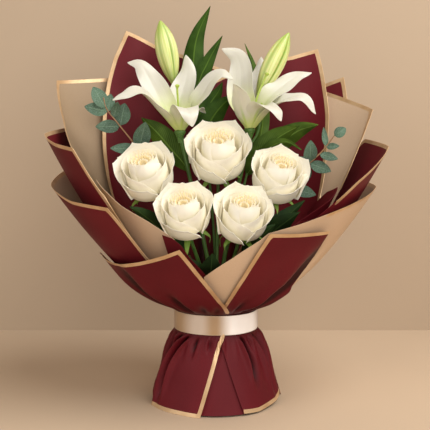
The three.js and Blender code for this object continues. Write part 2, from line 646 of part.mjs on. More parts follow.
function eucalyptusGeometry({ spot, path, leaves }) {
  const stations = path.map(vec);
  const foot = bundleSpot(spot, 0);
  const top = bundleSpot(spot, BUNDLE_TOP);
  const inside = bundleSpot(spot, BUNDLE_TOP - TWIG_JOINT);
  const bent = new THREE.CatmullRomCurve3([inside, top, ...stations], false, 'centripetal');
  const lower = tube(new THREE.LineCurve3(foot, top), TWIG, 5, 1);
  const upper = tube(bent, TWIG, 5, 12);
  const blades = leaves.map(([t, tip, width, turn]) => (
    roundLeafGeometry(bent.getPointAt(t), vec(tip), width, turn)));
  return join([lower, upper, ...blades]);
}

// --- The bouquet ---------------------------------------------------------------------------------

const bouquet = new THREE.Group();

function add(name, colour, geometry, roughness = 0.6) {
  const material = new THREE.MeshStandardMaterial({ color: COLOURS[colour], roughness, metalness: 0 });
  const mesh = new THREE.Mesh(geometry, material);
  mesh.name = name;
  bouquet.add(mesh);
}

SHEETS.forEach((sheet) => add(sheet.name, sheet.colour, sheetGeometry(sheet), 0.7));
add('ribbon_band', 'ribbon', ribbonGeometry(), 0.35);
add('stem_tie', 'twine', tieGeometry(), 0.9);
add('inner_cuff', 'cream', cuffGeometry(), 0.8);

ROSES.forEach((rose, i) => {
  add(`rose_${i + 1}_bloom`, 'rose', roseBloomGeometry(rose));
  add(`rose_${i + 1}_stem`, 'stem', roseStemGeometry(rose));
});

LILIES.forEach((lily, i) => {
  lily.tepals.forEach((tepal, k) => {
    add(`lily_${i + 1}_tepal_${k + 1}`, 'lily', tepalGeometry(lily, tepal), 0.5);
  });
  add(`lily_${i + 1}_stem`, 'stem', lilyStemGeometry(lily));
});

BUDS.forEach((bud) => add(bud.name, 'bud', budGeometry(bud), 0.5));

FOLIAGE.forEach((stem) => add(stem.name, 'leaf', foliageGeometry(stem)));
EUCALYPTUS.forEach((sprig) => add(sprig.name, 'eucalyptus', eucalyptusGeometry(sprig)));

// The frame's origin is under the middle of the whole outline, on the table.
const outline = new THREE.Box3().setFromObject(bouquet);
const middle = outline.getCenter(new THREE.Vector3());
bouquet.children.forEach((mesh) => mesh.geometry.translate(-middle.x, -middle.y, 0));

export default bouquet;
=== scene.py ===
"""Looks of the mixed flower bouquet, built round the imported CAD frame.

The shapes are worked out in millimetres about the bunch's own axis, with the same sheets, stems and
blooms as the CAD part, and moved into the row frame in metres when a piece is made. Azimuths are in
degrees: 0 is +X (right), 90 the back, 180 the left and 270, or -90, the front.
"""
import math
import random

import bpy
import numpy as np
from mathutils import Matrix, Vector


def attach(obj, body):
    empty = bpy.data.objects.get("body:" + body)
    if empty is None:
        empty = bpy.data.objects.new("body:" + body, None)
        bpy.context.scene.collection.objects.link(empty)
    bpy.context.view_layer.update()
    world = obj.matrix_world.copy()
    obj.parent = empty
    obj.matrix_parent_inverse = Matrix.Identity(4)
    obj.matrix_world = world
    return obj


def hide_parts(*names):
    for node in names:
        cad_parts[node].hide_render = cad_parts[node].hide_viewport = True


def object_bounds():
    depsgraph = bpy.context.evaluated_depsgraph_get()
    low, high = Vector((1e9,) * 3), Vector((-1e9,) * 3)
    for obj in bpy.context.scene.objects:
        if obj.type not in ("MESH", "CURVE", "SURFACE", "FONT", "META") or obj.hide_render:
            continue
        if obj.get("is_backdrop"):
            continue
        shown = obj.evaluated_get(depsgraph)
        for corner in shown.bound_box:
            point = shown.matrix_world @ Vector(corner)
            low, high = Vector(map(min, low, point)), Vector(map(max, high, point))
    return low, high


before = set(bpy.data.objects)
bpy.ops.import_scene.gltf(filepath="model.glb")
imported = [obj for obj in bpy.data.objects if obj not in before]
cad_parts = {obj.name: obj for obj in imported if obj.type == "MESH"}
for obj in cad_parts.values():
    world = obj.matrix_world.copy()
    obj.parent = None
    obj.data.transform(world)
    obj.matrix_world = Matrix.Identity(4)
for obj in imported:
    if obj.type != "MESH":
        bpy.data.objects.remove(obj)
cad_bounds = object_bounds()

# --- Frame and camera ---

MM = 0.001
AXIS_SHIFT = np.array([0.497, -5.267, 0.0])  # from the bunch's axis to the row frame, mm
CAMERA_AT = (-1.33, -1000.0, 333.0)  # mm, about the bunch's axis
CAMERA_PITCH = 4.9  # degrees below the horizon
CAMERA_LENS = 62.96
CAMERA_SENSOR = 36.0


def in_frame(points):
    """Points in millimetres about the bunch's axis, as metres in the row frame."""
    return (np.reshape(points, (-1, 3)) + AXIS_SHIFT) * MM


def place(name, data, at=-AXIS_SHIFT):
    """Puts a new object into the scene, with its origin at a point about the bunch's axis."""
    made = bpy.data.objects.new(name, data)
    made.location = in_frame(at)[0]
    bpy.context.scene.collection.objects.link(made)
    return made


camera = place("camera", bpy.data.cameras.new("camera"), CAMERA_AT)
camera.data.lens = CAMERA_LENS
camera.data.sensor_width = CAMERA_SENSOR
camera.rotation_euler = (math.radians(90 - CAMERA_PITCH), 0, 0)
bpy.context.scene.camera = camera

# --- Small mathematics ---


def unit(v):
    v = np.asarray(v, float)
    return v / np.maximum(np.linalg.norm(v, axis=-1, keepdims=True), 1e-9)


def smooth(x, low=0.0, high=1.0):
    """0 below low, 1 above high and an even S between them."""
    t = np.clip((x - low) / (high - low), 0, 1)
    return t * t * (3 - 2 * t)


def bump(x, centre, half_width):
    return np.exp(-(((x - centre) / half_width) ** 2))


def fading(away, reach):
    """1 up to zero away, and fading out beyond it."""
    return np.exp(-np.clip(away, 0, None) / reach)


def table(text):
    """Rows of numbers from a text, with a comma after each row but the last."""
    return [tuple(map(float, row.split())) for row in text.split(",")]


def read(pairs, where):
    """Straight-line reading of a list of (where, value) pairs."""
    return np.interp(where, *zip(*pairs))


def read_softly(pairs, where, reach=7.0):
    """The same reading, averaged over a short stretch so that it has no kinks."""
    steps = np.linspace(-1, 1, 9)
    weights = 1 - np.abs(steps) * 0.9
    return sum(w * read(pairs, where + s * reach) for s, w in zip(steps, weights)) / weights.sum()


def spline(points, t):
    """An even Catmull-Rom curve through points, read at an array t of shares from 0 to 1."""
    p = np.asarray(points, float)
    p = np.vstack([2 * p[0] - p[1], p, 2 * p[-1] - p[-2]])
    last = len(p) - 3
    x = np.clip(t, 0, 1) * last
    i = np.minimum(x.astype(int), last - 1)
    f = (x - i)[..., None]
    a, b, c, d = (p[i + k] for k in range(4))
    return 0.5 * (2 * b + (c - a) * f + (2 * a - 5 * b + 4 * c - d) * f**2
                  + (3 * b - a - 3 * c + d) * f**3)


def walk(path, share):
    """Points of a path at one or more shares of its length."""
    run = np.r_[0, np.cumsum(np.linalg.norm(np.diff(path, axis=0), axis=1))]
    return np.stack([np.interp(share * run[-1], run, path[:, k]) for k in range(3)], axis=-1)


def even_path(points, count):
    """count points at even steps along the curve through points."""
    points = np.vstack(points)
    return walk(spline(points, np.linspace(0, 1, 40 * len(points))), np.linspace(0, 1, count))


def tangents(path):
    return unit(np.gradient(path, axis=0))


def polar(radius, azimuth, height):
    turn = np.radians(azimuth)
    return np.stack(np.broadcast_arrays(radius * np.cos(turn), radius * np.sin(turn), height), -1)


def turn_to(axis):
    """A 3 by 3 matrix that turns +Z to axis, with the second column kept as level as it can be."""
    z = unit(axis)
    x = unit(np.cross([0.0, 1.0, 0.0], z))
    return np.stack([x, np.cross(z, x), z], axis=1)


def outwards(angle, rise=0.0):
    return np.array([math.cos(angle), math.sin(angle), rise])


# --- Pieces ---


def marked(across, along, tone=0.0):
    """The three marks that each point of a grid carries for the materials: across (-1 to 1),
    along (0 to 1) and tone."""
    return np.stack(np.broadcast_arrays(across, along, tone), axis=-1)


class Shape:
    """The surfaces of one piece, in millimetres, with a look for each face."""

    def __init__(self):
        self.points, self.marks, self.faces, self.looks = [], [], [], []
        self.count = 0

    def add_points(self, points, marks):
        """Adds a grid of points, and gives their numbers as the same grid."""
        self.points.append(points.reshape(-1, 3))
        self.marks.append(np.broadcast_to(marks, points.shape).reshape(-1, 3))
        numbers = self.count + np.arange(points[..., 0].size).reshape(points.shape[:2])
        self.count += numbers.size
        return numbers

    def add_faces(self, faces, look):
        self.faces.append(faces)
        self.looks.append(np.broadcast_to(look, len(faces)))

    def slab(self, front, back, marks=0.0, front_look=0, back_look=0, split=False):
        """A closed thin body between two grids of points. The front grid faces out by the
        right-hand rule of (column, row), and its look covers the rim. A look may be one number or
        one for each cell. split cuts each cell along the same diagonal on both sides, so that
        steep folds stay closed."""
        a = self.add_points(front, marks)
        deep = self.add_points(back, marks)[0, 0] - a[0, 0]
        cells = (a.shape[0] - 1, a.shape[1] - 1)
        front_look, back_look = (np.broadcast_to(x, cells) for x in (front_look, back_look))
        quads = np.stack([a[:-1, :-1], a[1:, :-1], a[1:, 1:], a[:-1, 1:]], -1).reshape(-1, 4)
        for part in (quads[:, :3], quads[:, [0, 2, 3]]) if split else (quads,):
            self.add_faces(part, front_look.ravel())
            self.add_faces(part[:, ::-1] + deep, back_look.ravel())
        for line, looks in ((a[:, 0], front_look[:, 0]), (a[-1], front_look[-1]),
                            (a[::-1, -1], front_look[::-1, -1]), (a[0, ::-1], front_look[0, ::-1])):
            p, q = line[:-1], line[1:]
            self.add_faces(np.stack([p + deep, q + deep, q, p], -1), looks)

    def tube(self, path, radii, sides=10, look=0):
        """A round rod along a path, closed at its ends."""
        along = tangents(path)
        side = np.cross(along[0], [0.3, 0.9, 0.2])
        turn = np.linspace(0, 2 * math.pi, sides, endpoint=False)[:, None]
        rings = []
        for point, direction, radius in zip(path, along, np.broadcast_to(radii, len(path))):
            side = unit(side - direction * side.dot(direction))
            over = np.cross(direction, side)
            rings.append(point + radius * (np.cos(turn) * side + np.sin(turn) * over))
        self.rings(rings, look)

    def rings(self, rings, look=0, tone=0.0):
        """A closed skin over a row of rings of points, each anticlockwise seen from its end."""
        rings = np.asarray(rings)
        around = np.linspace(-1, 1, rings.shape[1], endpoint=False)
        grid = self.add_points(rings, marked(around, np.linspace(0, 1, len(rings))[:, None], tone))
        after = np.roll(grid, -1, axis=1)
        quads = np.stack([grid[:-1], after[:-1], after[1:], grid[1:]], -1).reshape(-1, 4)
        for faces in (quads, grid[:1, ::-1], grid[-1:]):
            self.add_faces(faces, look)


def make_piece(name, shape, looks, slot, node, sharp=38.0):
    """Makes the Blender object, rides it on the bunch and lets it stand for its CAD node."""
    mesh = bpy.data.meshes.new(name)
    corners = np.concatenate([f.ravel() for f in shape.faces])
    sizes = np.concatenate([np.full(len(f), f.shape[1]) for f in shape.faces])
    mesh.vertices.add(shape.count)
    mesh.loops.add(len(corners))
    mesh.polygons.add(len(sizes))
    for rows, key, values, kind in (
            (mesh.vertices, "co", in_frame(np.vstack(shape.points)), np.float32),
            (mesh.loops, "vertex_index", corners, np.int32),
            (mesh.polygons, "loop_start", np.cumsum(sizes) - sizes, np.int32),
            (mesh.polygons, "material_index", np.concatenate(shape.looks), np.int32)):
        rows.foreach_set(key, values.astype(kind).ravel())
    mesh.update(calc_edges=True)
    for mark, values in zip(("across", "along", "tone"), np.vstack(shape.marks).T):
        layer = mesh.attributes.new(mark, "FLOAT", "POINT")
        layer.data.foreach_set("value", values.astype(np.float32))
    for look in looks:
        mesh.materials.append(look.material)
    mesh.validate()
    mesh.shade_smooth()
    mesh.set_sharp_from_angle(angle=math.radians(sharp))
    piece = place(name, mesh)
    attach(piece, "root")
    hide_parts(node)
    return piece


# --- Shared effects as node groups ---


def srgb(red, green, blue):
    """A colour given as 0 to 255 display values, as the linear colour a shader takes."""
    parts = [v / 255 for v in (red, green, blue)]
    return [v / 12.92 if v <= 0.04045 else ((v + 0.055) / 1.055) ** 2.4 for v in parts] + [1.0]


class Nodes:
    """Short hands for building a node tree."""

    def __init__(self, tree):
        self.tree = tree

    def new(self, kind, given=None, **settings):
        """A node with its settings and given inputs. Gives its outputs."""
        node = self.tree.nodes.new("ShaderNode" + kind)
        for name, value in settings.items():
            setattr(node, name, value)
        for socket, value in (given or {}).items():
            self.put(node.inputs[socket], value)
        return node.outputs

    def put(self, socket, value):
        """Sets a socket to a number or colour, or links it to another socket."""
        if isinstance(value, bpy.types.NodeSocket):
            self.tree.links.new(value, socket)
        else:
            socket.default_value = value

    def math(self, operation, a, b=0.0):
        return self.new("Math", {0: a, 1: b}, operation=operation)[0]

    def times(self, a, b):
        return self.math("MULTIPLY", a, b)

    def mark(self, name):
        return self.new("Attribute", attribute_name=name)["Fac"]

    def ramp(self, value, low, high, start=0.0, end=1.0):
        """value from low to high becomes start to end, evenly eased."""
        return self.new("MapRange", {"Value": value, "From Min": low, "From Max": high,
                                     "To Min": start, "To Max": end},
                        interpolation_type="SMOOTHSTEP")["Result"]

    def layers(self, colour, *layers):
        """A colour with (amount, colour) layers laid over it, one after the other."""
        for amount, over in layers:
            colour = self.new("Mix", {0: amount, 6: colour, 7: over}, data_type="RGBA")[2]
        return colour


def make_group(effect, **inputs):
    """Builds an effect as a shader node group of that name. An input's _ stands for a space."""
    tree = bpy.data.node_groups.new(effect.__name__, "ShaderNodeTree")
    for socket, default in inputs.items():
        made = tree.interface.new_socket(socket.replace("_", " "), in_out="INPUT",
                                         socket_type="NodeSocketFloat")
        made.default_value = default
    nodes = Nodes(tree)
    results = effect(nodes, tree.nodes.new("NodeGroupInput").outputs)
    for socket in results:
        tree.interface.new_socket(socket, in_out="OUTPUT", socket_type="NodeSocketFloat")
    end = tree.nodes.new("NodeGroupOutput")
    for socket, value in results.items():
        nodes.put(end.inputs[socket], value)
    return tree


def mottle(nodes, given):
    """Soft patches and a fine grain, both over the object's own size."""
    where = nodes.new("TexCoord")["Object"]
    return {name: nodes.new(
        "TexNoise", {"Vector": where, "Scale": given[size], "Detail": detail})["Fac"]
        for name, size, detail in (("Patches", "Patch Size", 2.0), ("Grain", "Grain Size", 4.0))}


def veins(nodes, given):
    """Lines that leave a blade's middle rib and sweep towards its tip, and the rib itself."""
    across = nodes.math("ABSOLUTE", nodes.mark("across"))
    bent = nodes.math("SUBTRACT", nodes.mark("along"), nodes.times(across, given["Sweep"]))
    wave = nodes.math("SINE", nodes.times(nodes.times(bent, given["Pairs"]), 2 * math.pi))
    lines = nodes.math("POWER", nodes.math("ABSOLUTE", wave), given["Sharpness"])
    return {"Rib": nodes.ramp(across, 0.09, 0.02),
            "Veins": nodes.times(lines, nodes.ramp(across, 0.95, 0.5))}


def streaks(nodes, given):
    """Fine parallel streaks along a blade, as on lily tepals, buds and grassy leaves."""
    where = nodes.new("CombineXYZ", {
        "X": nodes.times(nodes.mark("across"), given["Count"]),
        "Y": nodes.times(nodes.mark("along"), given["Wander"])})["Vector"]
    return {"Streaks": nodes.new("TexNoise", {"Vector": where, "Scale": 1.0,
                                              "Detail": 2.0})["Fac"]}


mottle_group = make_group(mottle, Patch_Size=20.0, Grain_Size=600.0)
veins_group = make_group(veins, Pairs=9.0, Sweep=0.35, Sharpness=6.0)
streaks_group = make_group(streaks, Count=14.0, Wander=0.6)


class Look(Nodes):
    """One material: a Principled shader with its own constants, and what feeds it."""

    def __init__(self, name, roughness, **constants):
        self.material = bpy.data.materials.new(name)
        self.material.use_nodes = True
        super().__init__(self.material.node_tree)
        self.set(Roughness=roughness, **constants)

    def set(self, **values):
        """Sets or links inputs of the shader. A name's _ stands for a space."""
        shader = self.tree.nodes["Principled BSDF"]
        for socket, value in values.items():
            self.put(shader.inputs[socket.replace("_", " ")], value)

    def mottled(self, patch_size, grain_size):
        made = self.new("Group", {"Patch Size": patch_size, "Grain Size": grain_size},
                        node_tree=mottle_group)
        return made["Patches"], made["Grain"]

    def streaked(self, count, wander):
        return self.new("Group", {"Count": count, "Wander": wander},
                        node_tree=streaks_group)["Streaks"]

    def paint(self, colour, *layers):
        """Lays layers over a colour as the base colour."""
        colour = self.layers(colour, *layers)
        self.set(Base_Color=colour)
        return colour

    def roughen(self, amount, low, high):
        self.set(Roughness=self.ramp(amount, 0.3, 0.7, low, high))

    def relief(self, height, distance, strength):
        """Raises the surface by a height, which is the last step of a look. Gives the look."""
        self.set(Normal=self.new("Bump", {"Strength": strength, "Distance": distance,
                                          "Height": height})["Normal"])
        return self


# --- Materials ---

# Painted highlight glow of the satin's bright bands.
SATIN_GLOW = 0.06  # the satin's bright bands
# Painted glow for the lily tepals, which lifts their shade.
LILY_GLOW = 0.06
# Painted glow for the petals, standing in for light that comes through them and lifting their
# shade.
PETAL_GLOW = 0.24  # light that comes through the thin petals
BLACK = srgb(0, 0, 0)
# Along the ribbon: where a painted highlight band starts, is full, fades and ends, and how strong
# it is.
SATIN_BANDS = [(0.32, 0.395, 0.415, 0.46, 0.34), (0.468, 0.53, 0.62, 0.72, 1.0),
               (0.76, 0.82, 0.86, 0.94, 0.7), (0.10, 0.16, 0.20, 0.27, 0.6)]


def paper_look(name, base, shade, roughness):
    """Matt paper, with painted shade in its creases and against the ribbon (tone)."""
    look = Look(name, roughness, Specular_IOR_Level=0.2)
    patches, grain = look.mottled(9.0, 900.0)
    # The colour of the painted shade in creases and against the ribbon.
    creased = [c * 0.15 for c in shade[:3]] + [1.0]
    look.paint(base, (look.times(look.ramp(patches, 0.35, 0.68), 0.55), shade),
               (look.ramp(grain, 0.35, 0.65, 0, 0.35), shade),
               (look.times(look.mark("tone"), 0.85), creased))
    look.roughen(patches, roughness - 0.06, roughness + 0.06)
    return look.relief(grain, 0.00012, 0.35)


def gold_look():
    look = Look("gold_border", 0.42, Metallic=0.45)
    patches, grain = look.mottled(60.0, 1400.0)
    look.paint(srgb(214, 180, 138), (look.ramp(patches, 0.35, 0.65, 0, 0.6), srgb(192, 152, 108)))
    look.roughen(grain, 0.32, 0.48)
    return look.relief(grain, 0.00006, 0.3)


def ribbon_look():
    look = Look("champagne_satin", 0.32, Sheen_Weight=0.2, Sheen_Roughness=0.3, Metallic=0.0,
                Anisotropic=0.75, Specular_IOR_Level=0.7, Emission_Strength=SATIN_GLOW)
    along, across = look.mark("along"), look.mark("across")
    # Painted highlight bands over a base darkened to the satin's shaded tone; the bands also glow a
    # little.
    shine = 0.0
    for first, full, fades, last, strength in SATIN_BANDS:
        shine = look.math("ADD", shine, look.times(look.ramp(along, first, full, 0, strength),
                                                   look.ramp(along, fades, last, 1, 0)))
    tint = look.layers(srgb(172, 140, 105), (shine, srgb(252, 246, 240)))
    selvage = look.ramp(look.math("ABSOLUTE", across), 0.90, 0.97, 0, 0.35)
    look.set(Emission_Color=look.layers(BLACK, (shine, tint)))
    look.paint(tint, (selvage, srgb(204, 182, 150)))
    threads, weft = (look.times(look.math("SINE", look.times(way, count)), depth)
                     for way, count, depth in ((along, 1150.0, 0.5), (across, 46.0, 0.35)))
    return look.relief(look.math("ADD", threads, weft), 0.00003, 0.5)


def twine_look():
    look = Look("twine_fibre", 0.9)
    patches, grain = look.mottled(300.0, 2500.0)
    look.paint(srgb(186, 148, 98), (look.ramp(patches, 0.3, 0.7), srgb(132, 98, 58)))
    return look.relief(grain, 0.0003, 0.8)


def rose_look():
    """Ivory petals, creamier low down, pale on the rims, and golden near the heart (tone 1)."""
    look = Look("rose_petal", 0.52, Subsurface_Weight=0.35, Subsurface_Scale=0.004,
                Subsurface_Radius=(1.0, 0.95, 0.85), Sheen_Weight=0.12, Sheen_Roughness=0.4,
                Emission_Strength=PETAL_GLOW)
    along, tone = look.mark("along"), look.mark("tone")
    lines = look.streaked(9.0, 2.0)
    patches, grain = look.mottled(90.0, 1500.0)
    tinted = look.paint(
        srgb(237, 229, 204), (look.ramp(patches, 0.3, 0.7, 0, 0.5), srgb(232, 222, 193)),
        (look.times(look.ramp(along, 0.85, 0.2), 0.7), srgb(236, 225, 190)),
        (look.times(look.ramp(along, 0.68, 0.98, 0, 0.85), look.math("SUBTRACT", 1.0, tone)),
         srgb(251, 245, 227)),
        # The tone mark: the heart's own gold, and painted shade in the crimp valleys.
        (look.times(tone, look.ramp(along, 0.1, 0.6, 0.7, 0.3)), srgb(253, 241, 206)),
        (look.times(tone, look.ramp(along, 0.70, 0.88, 0, 0.85)), srgb(242, 217, 152)),
        (look.ramp(lines, 0.5, 0.7, 0, 0.06), srgb(240, 230, 200)))
    # Painted glow: a dimmed copy of the petal colour, warmer towards the heart, lifts the shade
    # between petals.
    look.set(Emission_Color=look.layers(tinted, (0.78, BLACK),
                                        (look.times(tone, 0.9), srgb(255, 238, 202))))
    look.roughen(grain, 0.46, 0.6)
    return look.relief(look.math("ADD", lines, look.times(grain, 0.25)), 0.00025, 0.35)


def lily_look(name, rib_reach, rib_depth, throat_reach, throat):
    """Waxy white, with a green rib, a green-yellow throat and a faint painted glow."""
    look = Look(name, 0.42, Subsurface_Weight=0.3, Subsurface_Scale=0.003,
                Subsurface_Radius=(0.9, 1.0, 0.7), Coat_Weight=0.06, Emission_Strength=LILY_GLOW)
    across, along = look.math("ABSOLUTE", look.mark("across")), look.mark("along")
    lines = look.streaked(11.0, 1.2)
    patches, grain = look.mottled(70.0, 1800.0)
    rib = look.times(look.ramp(across, 0.22, 0.03), look.ramp(along, rib_reach, 0.12))
    look.set(Emission_Color=look.paint(
        srgb(200, 196, 182), (look.ramp(patches, 0.3, 0.7, 0, 0.4), srgb(196, 193, 176)),
        (look.ramp(lines, 0.5, 0.72, 0, 0.22), srgb(222, 226, 198)),
        (look.times(rib, rib_depth), srgb(150, 176, 78)),
        (look.times(look.ramp(along, throat_reach, 0.02), 0.85), throat)))
    bumps = look.math("ADD", look.times(lines, 0.8), look.times(grain, 0.12))
    return look.relief(bumps, 0.0004, 0.4)


def bud_look():
    """Green along the seams (tone) and at both ends, pale and creamy on the swell of each tepal."""
    look = Look("lily_bud_skin", 0.42, Subsurface_Weight=0.2, Subsurface_Scale=0.003,
                Coat_Weight=0.08)
    along = look.mark("along")
    lines = look.streaked(20.0, 1.0)
    look.paint(srgb(220, 224, 152), (look.ramp(lines, 0.42, 0.62, 0, 0.6), srgb(184, 200, 100)),
               (look.ramp(look.mark("tone"), 0.15, 0.9), srgb(128, 156, 46)),
               (look.ramp(along, 0.62, 0.97, 0, 0.75), srgb(150, 176, 66)),
               (look.ramp(along, 0.3, 0.04, 0, 0.6), srgb(150, 172, 78)))
    return look.relief(lines, 0.0004, 0.4)


def leaf_look(name, top, under, vein, roughness, sweep=0.35, pairs=9.0, bloom=0.0):
    look = Look(name, roughness, Specular_IOR_Level=0.14)
    drawn = look.new("Group", {"Pairs": pairs, "Sweep": sweep, "Sharpness": 10.0},
                     node_tree=veins_group)
    patches, grain = look.mottled(45.0, 1300.0)
    layers = [(look.ramp(patches, 0.3, 0.7), under),
              (look.ramp(look.streaked(16.0, 3.0), 0.5, 0.75, 0, 0.35), under),
              (look.times(drawn["Veins"], 0.35), vein), (look.times(drawn["Rib"], 0.75), vein)]
    if bloom:
        layers.append((look.ramp(grain, 0.4, 0.75, 0, bloom), srgb(176, 194, 186)))
    look.paint(top, *layers)
    look.roughen(patches, roughness - 0.06, roughness + 0.08)
    sunk = look.math("ADD", drawn["Veins"], drawn["Rib"])
    return look.relief(look.math("SUBTRACT", look.times(grain, 0.15), sunk), 0.00025, 0.5)


def stem_look(name, light, dark, cut):
    """A green stem, paler at its cut end, with small lengthwise lines."""
    look = Look(name, 0.45, Coat_Weight=0.05)
    lines = look.streaked(7.0, 14.0)
    grain = look.mottled(60.0, 900.0)[1]
    look.paint(light, (look.ramp(lines, 0.35, 0.65), dark),
               (look.ramp(grain, 0.6, 0.72, 0, 0.35), dark),
               (look.ramp(look.mark("along"), 0.012, 0, 0, 0.8), cut))
    return look.relief(lines, 0.0003, 0.5)


BURGUNDY = paper_look("burgundy_paper", srgb(103, 19, 28), srgb(83, 13, 20), 0.58)
CREAM = paper_look("cream_paper", srgb(208, 180, 151), srgb(198, 168, 137), 0.64)
# The cream paper in two copies: this darker one is painted shade, for cream sides that lie in
# shade.
DEEP_CREAM = paper_look("shaded_cream_paper", srgb(162, 139, 113), srgb(150, 126, 98), 0.64)
GOLD = gold_look()
RIBBON = ribbon_look()
TWINE = twine_look()
ROSE = rose_look()
LILY_IN = lily_look("lily_tepal_inside", 0.5, 0.55, 0.58, srgb(206, 214, 120))
LILY_OUT = lily_look("lily_tepal_outside", 0.62, 0.75, 0.36, srgb(196, 208, 112))
BUD = bud_look()
LEAF = leaf_look("dark_leaf", srgb(82, 110, 34), srgb(56, 80, 22), srgb(120, 152, 66), 0.52)
LANCE = leaf_look("lance_leaf", srgb(48, 76, 14), srgb(34, 58, 8), srgb(84, 114, 34), 0.6,
                  sweep=2.6, pairs=1.6)
ROSE_LEAF = leaf_look("rose_leaf", srgb(42, 66, 28), srgb(28, 46, 20), srgb(70, 96, 48), 0.56)
EUCALYPTUS = leaf_look("eucalyptus_leaf", srgb(78, 106, 82), srgb(56, 80, 60),
                       srgb(108, 132, 106), 0.6, sweep=0.5, pairs=6.0, bloom=0.35)
# Sepal greens painted paler than the sepals' own, as painted light against the shade under the
# blooms.
SEPAL = leaf_look("rose_sepal", srgb(140, 172, 80), srgb(112, 148, 58), srgb(170, 192, 116), 0.5)
STEM = stem_look("green_stem", srgb(98, 134, 62), srgb(58, 96, 38), srgb(196, 204, 150))
TWIG = stem_look("brown_twig", srgb(168, 128, 88), srgb(126, 92, 60), srgb(206, 184, 150))
STYLE = stem_look("lily_style", srgb(190, 208, 98), srgb(152, 180, 66), srgb(190, 208, 98))

# --- Wrapping sheets ---
# The same layered sleeves as the CAD part: layer orders the sheets outwards, flare and power shape
# the flare, top and foot are the edges, and gold_top and gold_foot give the azimuths where an edge
# has its gold border. Where no foot is given, the sheet ends level under the ribbon. cut is the
# sheet before it was gathered: width and length in mm, and the area of its fan in cm squared.

PAPER = 0.6  # thickness, mm
LAYER_PITCH = 1.4
WAIST_RADIUS = 43.5
WAIST_BOTTOM = 97.0
WAIST_TOP = 123.0
WAIST_FOOT = 99.0
SKIRT_SPREAD = 34.0
FLARE_START = 6.0
BORDER = 5.0  # width of the gold border
PLAIN_HEM = 3.0  # the row nearest to an edge without gold
COLUMN_STEP = 0.8  # degrees, and the columns of all sheets lie at the same multiples of it
ROWS = 60
EVERYWHERE = (-400, 400)
NOWHERE = (999, 999)


def sheet(layer, cut, flare, top, foot="", out=BURGUNDY, inside=BURGUNDY, power=0.6,
          gold_top=EVERYWHERE, gold_foot=NOWHERE):
    """The facts of one sheet. flare, top and foot are tables of azimuth and value."""
    flare, top = table(flare), table(top)
    foot = table(foot) if foot else [(top[0][0], WAIST_FOOT), (top[-1][0], WAIST_FOOT)]
    return locals()


